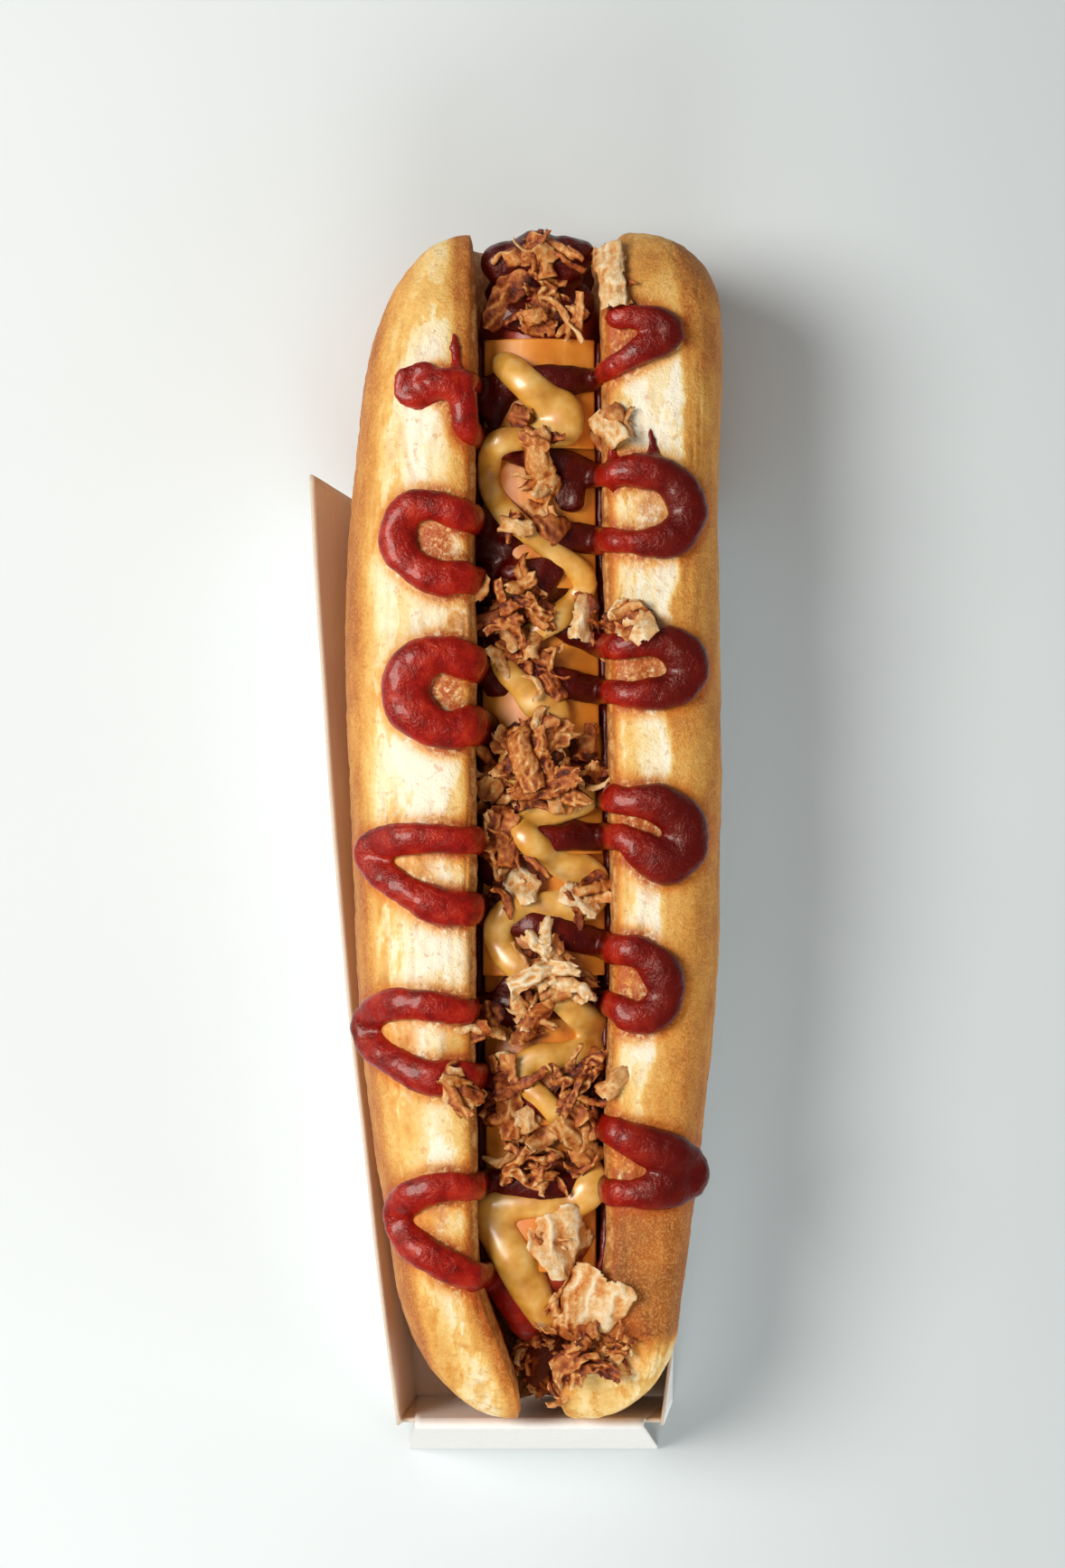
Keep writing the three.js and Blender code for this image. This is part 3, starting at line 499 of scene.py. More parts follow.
class Shader:
    """A material's node tree, worked in millimetres."""

    def __init__(self, name):
        self.material = bpy.data.materials.new(name)
        self.material.use_nodes = True
        self.tree = self.material.node_tree
        self.tree.nodes.clear()
        place = self.node("TexCoord").outputs["Object"]
        self.place = self.node("Mapping", {}, {"Vector": place, "Scale": [1 / MM] * 3}).outputs[0]

    def node(self, kind, settings=None, inputs=None):
        made = self.tree.nodes.new("ShaderNode" + kind)
        for key, value in (settings or {}).items():
            if key == "stops":
                elements = made.color_ramp.elements
                while len(elements) < len(value):
                    elements.new(1)
                for element, (position, color) in zip(elements, value):
                    element.position = position
                    element.color = tint(color)
            else:
                setattr(made, key, value)
        for key, value in (inputs or {}).items():
            value = getattr(value, "socket", value)
            if isinstance(value, bpy.types.NodeSocket):
                self.tree.links.new(value, made.inputs[key])
            else:
                made.inputs[key].default_value = value
        return made

    def amount(self, kind, settings=None, inputs=None, output=0):
        return Amount(self, self.node(kind, settings, inputs).outputs[output])

    def stretched(self, scale):
        return self.node("Mapping", {}, {"Vector": self.place, "Scale": scale}).outputs[0]

    def noise(self, size, detail=2.0, roughness=0.5, scale=None):
        vector = self.stretched(scale) if scale else self.place
        inputs = {"Vector": vector, "Scale": 1 / size, "Detail": detail, "Roughness": roughness}
        return self.amount("TexNoise", {}, inputs)

    def cracks(self, size, scale, wander):
        """Distance to the nearest line of a net, in cells, its lines wandering by a share of a cell."""
        inputs = {"Vector": self.stretched(scale), "Scale": 1 / size}
        bend = self.node("TexNoise", {}, {**inputs, "Scale": 2.2 / size, "Detail": 3.0}).outputs["Color"]
        bent = {0: bend, 1: [wander * size] * 3, 2: inputs["Vector"]}
        bent = self.node("VectorMath", {"operation": "MULTIPLY_ADD"}, bent).outputs[0]
        return self.amount("TexVoronoi", {"feature": "DISTANCE_TO_EDGE"}, {**inputs, "Vector": bent})

    def attribute(self, name):
        return self.amount("Attribute", {"attribute_name": name}, {}, "Fac")

    def step(self, value, low, high):
        inputs = {"Value": value, "From Min": low, "From Max": high}
        return self.amount("MapRange", {"interpolation_type": "SMOOTHSTEP"}, inputs)

    def ramp(self, value, stops):
        return self.node("ValToRGB", {"stops": stops}, {0: value}).outputs[0]

    def blend(self, share, a, b, kind="MIX"):
        a, b = (tint(c) if isinstance(c, str) else c for c in (a, b))
        settings = {"data_type": "RGBA", "blend_type": kind}
        return self.node("Mix", settings, {0: share, 6: a, 7: b}).outputs[2]

    def finish(self, color, roughness, height=None, distance=0.1, **constants):
        """Ends the tree in one shader. The bump's height is in units of the distance, in millimetres."""
        inputs = {"Base Color": tint(color) if isinstance(color, str) else color}
        inputs["Roughness"] = roughness
        if height is not None:
            bump = {"Height": height, "Distance": distance * MM, "Strength": 1.0}
            inputs["Normal"] = self.node("Bump", {}, bump).outputs[0]
        names = {"ior": "IOR"}
        for key, value in constants.items():
            inputs[" ".join(names.get(word, word.title()) for word in key.split("_"))] = value
        surface = self.node("BsdfPrincipled", {}, inputs)
        self.node("OutputMaterial", {}, {"Surface": surface.outputs[0]})
        return self.material


# ---- Bread ----


def lobe_controls(lobe, y):
    """Points of a lobe's outline measured outwards: from below the bun over the crust to its crest, and on
    down the slit's wall."""
    reach, edge, crest = (along(values, y) for values in (lobe.reach, lobe.edge, lobe.crest))
    power = 2 / lobe.square
    outer = []
    for k in range(CROWN_RUNGS + 1):
        angle = k / CROWN_RUNGS * math.pi / 2
        out, up = math.sin(angle) ** power, max(0.0, math.cos(angle)) ** power
        outer.append((mix(lobe.crest_x, reach, out), mix(BUN_WIDEST_Z, crest, up)))
    outer += [(share * reach, z) for share, z in FLANK] + [(0, BUN_BASE_Z)]
    inner = [(edge + out, crest - down) for out, down in SHOULDER] + [(edge, SLIT_TOP_Z)]
    inner += [(edge + out, z) for out, z in SLIT_WALL] + [(lobe.side * SAUSAGE.x, SLIT_FLOOR_Z)]
    return [Vector(point) for point in [*outer[::-1], *inner]]


def lobe_share(k):
    """1 for the rungs of the crown and the upper flank, down to 0 at the base."""
    return clamp((CROWN_RUNGS + len(FLANK) + 1 - k) / 3)


def bun_station(lobe, k, v):
    """Y of a rung at v along the bun, how far it is open there, and which end it is near."""
    lengths = [mix(BUN_BASE_NOSE, nose, lobe_share(k)) for nose in lobe.nose]
    j = v * (2 * NOSE_STEPS + MIDDLE_STEPS)
    end = 0 if v < 0.5 else 1
    from_tip = min(j, 2 * NOSE_STEPS + MIDDLE_STEPS - j)
    if from_tip < NOSE_STEPS:
        angle = from_tip / NOSE_STEPS * math.pi / 2
        reach = BUN_HALF - lengths[end] * (1 - math.cos(angle))
        return (reach if end else -reach), math.sin(angle), end
    share = (j - NOSE_STEPS) / MIDDLE_STEPS
    return mix(lengths[0] - BUN_HALF, BUN_HALF - lengths[1], share), 1, end


def bun_point(lobe, inner, k, v):
    """A point of the bun's skin, outside or in the slit, at a rung and at v along the bun."""
    y, share, end = bun_station(lobe, k, v)
    controls = lobe_controls(lobe, y)
    out, z = spline(controls, LAST_RUNG + (k if inner else -k))
    if share < 1:
        anchor = max(k, CROWN_RUNGS)
        outer_point, inner_point = (spline(controls, LAST_RUNG + n) for n in (-anchor, anchor))
        middle = outer_point.lerp(inner_point, mix(0.5, lobe.skew[end], lobe_share(k)))
        out, z = middle.lerp(Vector((out, z)), share)
    return Vector((lobe.side * out, y, max(z, BUN_BASE_Z)))


def bun_ring():
    """Where a ring of the bun has its vertices, as lobe, whether in the slit, and rung."""
    cuts = [i / CROWN_CUTS for i in range(CROWN_RUNGS * CROWN_CUTS)]
    cuts += [CROWN_RUNGS + i / FLANK_CUTS for i in range((LAST_RUNG - CROWN_RUNGS) * FLANK_CUTS)]
    down, up = cuts, [LAST_RUNG, *cuts[:0:-1]]
    ring = [(LEFT, False, k) for k in down] + [(RIGHT, False, k) for k in [*up, 0]]
    ring += [(RIGHT, True, k) for k in down[1:]] + [(LEFT, True, k) for k in up]
    return ring


def furrow_at(point):
    """Depth, from 0 to 1, of the lengthwise wrinkles where the crust is thin."""
    folds = 1 - abs(grain(point + Vector((7, 3, 0)), 2.4, (1, 8, 1)))
    some = ease(-0.15, 0.25, grain(point - Vector((0, 40, 0)), 16, (1, 2, 1)))
    return clamp((folds - 0.8) / 0.2) ** 2 * some


def bread_relief(point, normal):
    """Soft lumps all over, a sandy skin on the sides and wrinkles on top."""
    lump = unevenness(point, LUMPS)
    sandy = 0.22 * ease(0.5, -0.1, normal.z) * grain(point, 1.5)
    return lump + sandy - 0.4 * furrow_at(point) * ease(0.35, 0.9, normal.z)


def bread_mesh():
    """Rings of the bun's outline from tip to tip, welded shut at both."""
    ring = bun_ring()

    def place(u, v):
        return bun_point(*ring[round(u * len(ring)) % len(ring)], v)

    mesh = welded(sheet(len(ring), BUN_RINGS, place), 0.01)
    return roughened(mesh, bread_relief)


# ---- Filling ----


def sausage_mesh():
    shape = SAUSAGE
    mesh = bmesh.new()
    bmesh.ops.create_uvsphere(mesh, u_segments=72, v_segments=120, radius=1)
    middle, half = (shape.low + shape.high) / 2, (shape.high - shape.low) / 2
    for vertex in mesh.verts:
        turn = math.atan2(vertex.co.y, vertex.co.x)
        y = middle + half * vertex.co.z
        from_tip = clamp(min(y - shape.low, shape.high - y) / shape.taper)
        radius = shape.radius * math.sqrt(max(0.0, 1 - (1 - from_tip) ** 2))
        vertex.co = (shape.x + radius * math.cos(turn), y, shape.z + radius * math.sin(turn))
    bmesh.ops.recalc_face_normals(mesh, faces=mesh.faces)
    return lumpy(mesh, (0.25, 9), (0.12, 2.2, (1, 3, 1)))


def slice_span(index):
    """Y of a slice's two ends, without its lap."""
    high = SLICE.high - sum(length for length, _, _ in SLICES[:index])
    return high, high - SLICES[index][0]


def slice_mesh(index):
    """A thin slice bent over the sausage, its -Y edge raised to lie over the next one."""
    _, left, right = SLICES[index]
    high, low = slice_span(index)
    top = high if index == 0 else high + SLICE.lap
    rise = 0 if index == len(SLICES) - 1 else SLICE.rise
    rest = SAUSAGE.z + SAUSAGE.radius + GAP

    def place(u, v):
        x, y = mix(left, right, u), mix(low, top, v)
        across = (x - SAUSAGE.x) / (right - left)
        wave = 0.35 * grain((x, y, 5 * index), 9) + 0.12 * grain((x, y, index), 3)
        return Vector((x, y, rest - 4 * SLICE.sag * across**2 + rise * (top - y) / (top - low) + wave))

    mesh = sheet(40, 44, place)
    bmesh.ops.recalc_face_normals(mesh, faces=mesh.faces)
    if sum(face.normal.z for face in mesh.faces) < 0:
        bmesh.ops.reverse_faces(mesh, faces=mesh.faces)
    grown = bmesh.ops.extrude_face_region(mesh, geom=mesh.faces[:])
    raised = [item for item in grown["geom"] if isinstance(item, bmesh.types.BMVert)]
    bmesh.ops.translate(mesh, verts=raised, vec=(0, 0, SLICE.thickness))
    bmesh.ops.recalc_face_normals(mesh, faces=mesh.faces)
    edges = [edge for edge in mesh.edges if edge.calc_face_angle(0) > 1]
    bmesh.ops.bevel(
        mesh, geom=edges, offset=SLICE_ROUNDING, segments=2, profile=0.5, affect="EDGES", material=-1
    )
    return mesh


# ---- Sauces ----


def resampled(points, spacing):
    """Points at even steps along the smooth curve through the given ones."""
    fine = [spline(points, i / 12) for i in range(12 * (len(points) - 1) + 1)]
    kept = [fine[0]]
    for point in fine:
        if (point - kept[-1]).length >= spacing:
            kept.append(point)
    return kept


def strand(line, radii, flatness, sides=14):
    """A closed strand of sauce along a line of 3-D points."""
    last = len(line) - 1
    rings = []
    for i, point in enumerate(line):
        run = (line[min(i + 1, last)] - line[max(i - 1, 0)]).normalized()
        side = run.cross(Vector((0, 0, 1))).normalized()
        rings.append((point, side, side.cross(run)))

    def place(u, v):
        i = round(v * last)
        point, side, up = rings[i]
        from_end = min(i, last - i)
        rounding = math.sqrt(1 - (1 - clamp(from_end / 4)) ** 2)
        radius, angle = radii[i] * rounding, u * 2 * math.pi
        return point + radius * (side * math.cos(angle) + up * math.sin(angle) * flatness)

    return welded(sheet(sides, last, place), 0.005)


def settled(line, trees, lift, thick):
    """Lays a flat line over what is under it, bridging narrow gaps. A thick sauce stays on top of edges."""
    ground = [height(trees, x, y) for x, y in line]
    heights = ground
    for _ in range(4):
        padded = [heights[0], *heights, heights[-1]]
        heights = [(padded[i] + 2 * padded[i + 1] + padded[i + 2]) / 4 for i in range(len(heights))]
    if thick:
        heights = [max(z, low) for z, low in zip(heights, ground)]
    return [Vector((x, y, z + lift)) for (x, y), z in zip(line, heights)]


def poured(route, lift, flatness, lumps, trees, thick=True):
    """A strand of sauce through X, Y and radius points, laid on what is under it."""
    line = resampled([Vector(point) for point in route], 0.8)
    radii = [point.z * (1 + lumps * grain((point.x, point.y, 3), 6)) for point in line]
    return strand(settled([point.xy for point in line], trees, lift, thick), radii, flatness), line


def blob(x, y, z, across, lengthwise, up):
    """An uneven lump round a place, of the given half widths."""
    mesh = bmesh.new()
    bmesh.ops.create_uvsphere(mesh, u_segments=24, v_segments=12, radius=1)
    bmesh.ops.scale(mesh, vec=(across, lengthwise, up), verts=mesh.verts)
    roughened(mesh, lambda p, n: 0.9 * grain(p + Vector((x, y, 0)), 3))
    bmesh.ops.translate(mesh, verts=mesh.verts, vec=(x, y, z))
    return mesh


def run_together(mesh, passes):
    """Fuses overlapping sauce into one skin and lets its edges flow."""
    bmesh.ops.scale(mesh, vec=(MM, MM, MM), verts=mesh.verts)
    skin = softened(fused(mesh, SAUCE_CELL * MM), passes)
    bmesh.ops.scale(skin, vec=(1 / MM,) * 3, verts=skin.verts)
    return skin


def ketchup_mesh(trees):
    """The folded strand with its drips, pools and runs. Also gives the strand's points."""
    route = []
    for fold in KETCHUP_FOLDS:
        if route:
            (x, y, _), (next_x, next_y, _) = route[-1], fold[0]
            for share in (0.25, 0.5, 0.75):
                route.append((mix(x, next_x, share), mix(y, next_y, share), CROSSING_RADIUS))
        route += fold
    route = [(x, y, radius * KETCHUP.width) for x, y, radius in route]
    body, line = poured(route, KETCHUP.lift, KETCHUP.flatness, 0.2, trees)
    parts = [body] + [poured(drip, 0.1, 0.36, 0.3, trees)[0] for drip in KETCHUP_DRIPS]
    for x, y, across, lengthwise in KETCHUP_POOLS:
        parts.append(blob(x, y, height(trees, x, y) + 0.3, across, lengthwise, 1.3))
    parts += [blob(*shape) for shape in END_SAUCE]
    for lobe, inside, z, radius in SLIT_RUNS:
        run = [(lobe.side * (along(lobe.edge, y) - inside), y) for y in range(-86, 92, 2)]
        run = [Vector((x, y, z + 0.5 * grain((x, y, 0), 7))) for x, y in run]
        parts.append(strand(run, [radius] * len(run), 1.2, 8))
    mesh = run_together(joined(parts), 4)
    return lumpy(mesh, (0.25, 3), (0.1, 1.1)), line


def mustard_mesh(trees):
    route = [(x, y, radius * MUSTARD.width) for x, y, radius in MUSTARD_ROUTE]
    body, _ = poured(route, MUSTARD.lift, MUSTARD.flatness, 0.1, trees, thick=False)
    return lumpy(run_together(body, 6), (0.07, 5))


# ---- Fried onion ----


FLAKE_VALUES = ("rim", "ridge", "fibre")


def largest_island(mesh):
    """Deletes all but the largest connected part."""
    left, islands = set(mesh.faces), []
    while left:
        island, waiting = set(), [left.pop()]
        while waiting:
            face = waiting.pop()
            island.add(face)
            near = {other for edge in face.edges for other in edge.link_faces} & left
            left -= near
            waiting += near
        islands.append(island)
    biggest = max(islands, key=len)
    loose = [face for face in mesh.faces if face not in biggest]
    bmesh.ops.delete(mesh, geom=loose, context="FACES")


def spread(mesh, layer, passes):
    """Evens a vertex value out over its neighbours."""
    for _ in range(passes):
        means = []
        for vertex in mesh.verts:
            near = [edge.other_vert(vertex)[layer] for edge in vertex.link_edges]
            means.append((vertex[layer] + sum(near)) / (1 + len(near)))
        for vertex, mean in zip(mesh.verts, means):
            vertex[layer] = mean


def flake_shape(across, length, draw, thickness=0.24, cell=0.4, crinkle=0.85, bow=0.0):
    """A thin curled flake, torn at its edges and crinkled, lying about the origin.

    Its values are how close a spot is to a torn edge, how far it stands out of its surroundings, and where
    it lies across the flake's fibres.
    """
    curl = draw(0.2, 0.45) * across * 0.7
    wave = draw(0.8, 1.6) * min(1, length / 14)
    phase = 2 * math.pi * draw()
    twist = draw(-0.25, 0.25)
    seed = Vector((phase * 7, across * 3, length * 5))
    fold_size = max(FOLD_SIZE, 0.26 * across)
    fine = min(0.45, 1.3 / across)
    crinkle *= (fold_size / FOLD_SIZE) ** 0.8
    columns, rows = (max(3, round(size / cell)) for size in (across, length))

    def place(u, v):
        u, v = 2 * u - 1, 2 * v - 1
        narrow = 1 - 0.3 * v * v - 0.2 * math.sin(3 * v + phase)
        lift = curl * (1 - u * u) + wave * math.sin(2.4 * v + phase) + twist * u * v * across
        spot = Vector((u * across / 2 * narrow + bow * v * v, v * length / 2, lift))
        pleat = 1 - 2 * abs(grain(spot + seed, fold_size, (1, 2.6, 1)))
        rumple = 0.55 * pleat + 0.4 * grain(spot + seed, 2 * fold_size) + fine * grain(spot - seed, 0.8)
        sway = 0.8 * grain(spot + seed * 2, 2.2)
        return spot + Vector((sway, 0.5 * grain(spot - seed * 2, 1.8), rumple * crinkle))

    mesh = sheet(columns, rows, place)
    frailty = min(0.8, across / 5, 2 * across / length)
    torn = []
    for face in mesh.faces:
        spot = face.calc_center_median()
        side = spot.x - bow * (2 * spot.y / length) ** 2
        worn = max(abs(2 * side / across) ** 2, abs(2 * spot.y / length) ** 3)
        tear = 0.85 * grain(spot + seed, 1.3 * fold_size, (1, 2, 1)) + fine * 1.5 * grain(spot - seed, 0.9)
        if worn * 0.85 + tear * frailty > TORN_PAST:
            torn.append(face)
    if len(torn) < len(mesh.faces) * TORN_MOST:
        bmesh.ops.delete(mesh, geom=torn, context="FACES")
        largest_island(mesh)
    for name in FLAKE_VALUES:
        mesh.verts.layers.float.new(name)
    rim, ridge, fibre = (mesh.verts.layers.float[name] for name in FLAKE_VALUES)
    for vertex in mesh.verts:
        vertex[rim] = float(vertex.is_boundary)
        vertex[ridge] = vertex.co.z
        vertex[fibre] = vertex.co.x + phase * 20
    spread(mesh, rim, 1)
    spread(mesh, ridge, round(fold_size / cell))
    for vertex in mesh.verts:
        vertex[ridge] = (vertex.co.z - vertex[ridge]) / RIDGE_HEIGHT
    bmesh.ops.recalc_face_normals(mesh, faces=mesh.faces)
    bmesh.ops.solidify(mesh, geom=mesh.faces[:], thickness=thickness)
    bmesh.ops.recalc_face_normals(mesh, faces=mesh.faces)
    return softened(mesh, 1, 0.25)


def placed(mesh, x, y, z, turn, tilt=0.0):
    """Tilts a mesh about X, turns it about Z and moves it."""
    turned = Matrix.Translation((x, y, z)) @ Euler((0, 0, math.radians(turn))).to_matrix().to_4x4()
    bmesh.ops.transform(mesh, matrix=turned @ Matrix.Rotation(tilt, 4, "X"), verts=mesh.verts)
    return mesh


def leaned(mesh, trees, x, y, turn, side, reach):
    """Tilts a flake about its middle as the ground slopes under it, and lets it lie on that ground."""
    angle, middle = math.radians(turn), Vector((x, y))
    across = Vector((math.cos(angle), math.sin(angle)))
    lengthwise = Vector((-across.y, across.x))
    slopes = []
    for heading, step in ((across, side), (lengthwise, reach)):
        ahead, behind = (height(trees, *(middle + heading * way * step)) for way in (1, -1))
        slopes.append(clamp((ahead - behind) / (2 * step), -STEEPEST, STEEPEST))
    for vertex in mesh.verts:
        offset = vertex.co.xy - middle
        vertex.co.z += offset.dot(across) * slopes[0] + offset.dot(lengthwise) * slopes[1]
    clear = sorted(vertex.co.z - height(trees, vertex.co.x, vertex.co.y) for vertex in mesh.verts)
    bmesh.ops.translate(mesh, verts=mesh.verts, vec=(0, 0, -clamp(clear[len(clear) // 8], -3, 3)))


def heap_shapes(x, y, across, length, turn, count, draw):
    """A low crinkled core with its flakes round and over it, on height 0."""
    core = bmesh.new()
    bmesh.ops.create_icosphere(core, subdivisions=4, radius=1)
    bmesh.ops.scale(core, vec=(across * 0.3, length * 0.24, 1.4), verts=core.verts)
    placed(core, x, y, 0.2, turn)
    lumpy(core, (0.7, 2.4), (0.35, 1.1))
    # The core is marked as a torn and sunken spot, for the onion's painted light and shade.
    for name, value in zip(FLAKE_VALUES, (0.8, -0.5, 0)):
        marked(core, name, lambda point: value)
    shapes = [core]
    flakes = count + 3
    for i in range(flakes):
        angle = 2 * math.pi * i / flakes + draw()
        out = 0 if i == 0 else across * draw(0.25, 0.5)
        width, reach = across * draw(0.24, 0.44), length * draw(0.7, 1.05)
        flake = flake_shape(width, reach, draw, 0.16, 0.34, crinkle=1.1, bow=draw(-1.5, 1.5))
        heading, tilt = turn + draw(-80, 80), draw(-0.25, 0.25)
        spot = (x + out * math.cos(angle), y + out * math.sin(angle), draw(1, 2.6))
        shapes.append(placed(flake, *spot, heading, tilt))
    return shapes


def scattered_flakes(trees, draw):
    """Smaller flakes and shreds lying round the large ones."""
    shapes = []
    for x, y, spread_x, spread_y, count, size in SCATTER:
        for _ in range(count):
            angle, out = draw(0, 2 * math.pi), math.sqrt(draw())
            spot_x, spot_y = x + spread_x * out * math.cos(angle), y + spread_y * out * math.sin(angle)
            strip = draw() < 0.62
            length, across = (draw(6, 13), draw(1.2, 2.6)) if strip else (draw(4.5, 8), draw(3, 5.2))
            bow = draw(-2.4, 2.4) if strip else 0
            across, length, bow = across * size, length * size, bow * size
            cell = (0.34 if strip else 0.44) * max(size, 0.7)
            flake = flake_shape(across, length, draw, 0.16, cell, crinkle=0.55, bow=bow)
            ground = height(trees, spot_x, spot_y)
            if ground < SLIT_LOW_Z and spot_y > 0:
                continue
            if spot_y < CRUMB_FILL_Y:
                ground = max(ground, CRUMB_FILL_Z + 1.5 * draw() - 0.4 * abs(CRUMB_FILL_Y - spot_y))
            z = ground + draw(0.1, 1.6)
            shapes.append(placed(flake, spot_x, spot_y, z, draw(0, 360), draw(-0.35, 0.35)))
    return shapes


def marked_hollows(mesh):
    """Marks how deep a spot lies under the flakes round it, for the onion's painted shade in hollows."""
    tops = {}
    for vertex in mesh.verts:
        spot = round(vertex.co.x / HOLLOW_CELL), round(vertex.co.y / HOLLOW_CELL)
        tops[spot] = max(tops.get(spot, 0), vertex.co.z)

    def depth(point):
        column, row = round(point.x / HOLLOW_CELL), round(point.y / HOLLOW_CELL)
        near = [tops.get((column + i, row + j), point.z) for i in (-1, 0, 1) for j in (-1, 0, 1)]
        return clamp((sum(near) / len(near) - point.z) / HOLLOW_DEPTH)

    return marked(mesh, "hollow", depth)


def onion_mesh(trees):
    """The large flakes and the heaps. Each has its own shade of brown."""
    draw, tones, shapes = Draw(SEEDS.onion), Draw(SEEDS.onion_tone), []
    for index, (x, y, across, length, turn, count) in enumerate(ONIONS):
        if count:
            group = heap_shapes(x, y, across, length, turn, count, draw)
        else:
            group = [placed(flake_shape(across, length, draw), x, y, 0, turn)]
        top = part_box(f"onion_{index + 1}")[1].z / MM
        own_top = max(vertex.co.z for mesh in group for vertex in mesh.verts)
        for mesh in group:
            bmesh.ops.translate(mesh, verts=mesh.verts, vec=(0, 0, top - own_top))
            if not count:
                leaned(mesh, trees, x, y, turn, across * 0.3, length * 0.35)
            tone = 0.92 if index in PALE_ONIONS else tones(0.15, 0.6)
            marked(mesh, "tone", lambda point: tone)
        shapes += group
    return marked_hollows(joined(shapes))


def crumb_mesh(trees):
    """The small flakes, and the core that fills the slit's low end under them."""
    tones, shapes = Draw(SEEDS.crumb_tone), []
    for mesh in scattered_flakes(trees, Draw(SEEDS.crumbs)):
        tone = tones(0.1, 0.78)
        shapes.append(marked(mesh, "tone", lambda point: tone))
    core = blob(*CRUMB_CORE)
    # The core is marked as a torn and sunken spot, for the onion's painted light and shade.
    for name, value in zip((*FLAKE_VALUES, "tone"), (0.5, -0.5, 0, 0.12)):
        marked(core, name, lambda point: value)
    return marked_hollows(joined([*shapes, core]))


# ---- Card tray ----


def wall_line(wall, share):
    """X of a side wall's fold and top edge and the height of its top, at a share of the way along it."""
    fold, top = mix(*wall.fold, share), mix(*wall.top, share) + wall.bow * math.sin(math.pi * share)
    return fold, top, math.sqrt(TRAY.panel**2 - (top - fold) ** 2)


def card_body(mesh, towards):
    """Gives a sheet the thickness of card, towards a point: kraft on that side and white on the other."""
    mesh.normal_update()
    nearest = min(mesh.faces, key=lambda face: (face.calc_center_median() - towards).length)
    if (towards - nearest.calc_center_median()).dot(nearest.normal) > 0:
        bmesh.ops.reverse_faces(mesh, faces=mesh.faces)
    outer = list(mesh.faces)
    grown = bmesh.ops.extrude_face_region(mesh, geom=outer, use_keep_orig=True)["geom"]
    inner = [item for item in grown if isinstance(item, bmesh.types.BMFace)]
    mesh.normal_update()
    moves = [(item, item.normal * -CARD) for item in grown if isinstance(item, bmesh.types.BMVert)]
    for vertex, move in moves:
        vertex.co += move
    for faces, side in ((mesh.faces, EDGE), (outer, WHITE), (inner, KRAFT)):
        for face in faces:
            face.material_index = side
    bmesh.ops.recalc_face_normals(mesh, faces=mesh.faces)
    return mesh


def trough_mesh():
    """Both side walls and the floor."""

    def place(u, v):
        y = mix(TRAY.closed_y, TRAY.open_y, v)
        sag = 0.12 * grain((u * 9, v * 5, 0), 1)
        if u < 1 / 3 or u > 2 / 3:
            wall, up = (WALL_LEFT, 1 - 3 * u) if u < 0.5 else (WALL_RIGHT, 3 * u - 2)
            fold, top, z = wall_line(wall, v)
            return Vector((mix(fold, top, up) + 2 * sag * up, y + v * TRAY.rake * up, z * up))
        left, right = (wall_line(wall, v)[0] for wall in (WALL_LEFT, WALL_RIGHT))
        return Vector((mix(left, right, 3 * u - 1), y, 0))

    return card_body(sheet(60, 90, place), Vector((0, -20, 12)))


def end_mesh():
    """The doubled end panel, white all over: up from the floor, over its top fold and down to the table."""
    start = (WALL_LEFT.fold[0] + CARD, WALL_RIGHT.fold[0] - CARD)

    def place(u, v):
        inside = v < 0.5
        up = 2 * v if inside else 2 - 2 * v
        left, right = (mix(foot, fold, up) for foot, fold in zip(start if inside else END_FOOT, END_FOLD))
        inner_y = TRAY.closed_y + CARD - END_BEND * ease(0.96, 1, up)
        y = inner_y if inside else mix(END_FOOT_Y, TRAY.closed_y, up)
        return Vector((mix(left, right, u), y, max(TRAY.panel * up, CARD * inside)))

    mesh = card_body(sheet(40, 96, place), Vector((0, TRAY.closed_y - 2, -40)))
    for face in mesh.faces:
        face.material_index = WHITE
    return mesh


def tab_mesh(wall):
    """A corner tab, folded in from a side wall and tucked between the two halves of the end panel."""
    inward = 1 if wall.fold[0] < 0 else -1
    fold, top, top_z = wall_line(wall, 0)
    top_x = mix(fold, top, TAB.height / top_z)

    def place(u, v):
        x = mix(mix(fold, top_x, v), fold + inward * TAB.length, u)
        return Vector((x, TRAY.closed_y + CARD / 2, TAB.height * v))

    return card_body(sheet(12, 20, place), Vector((0, TRAY.closed_y + 30, 12)))


# ---- Finishes ----


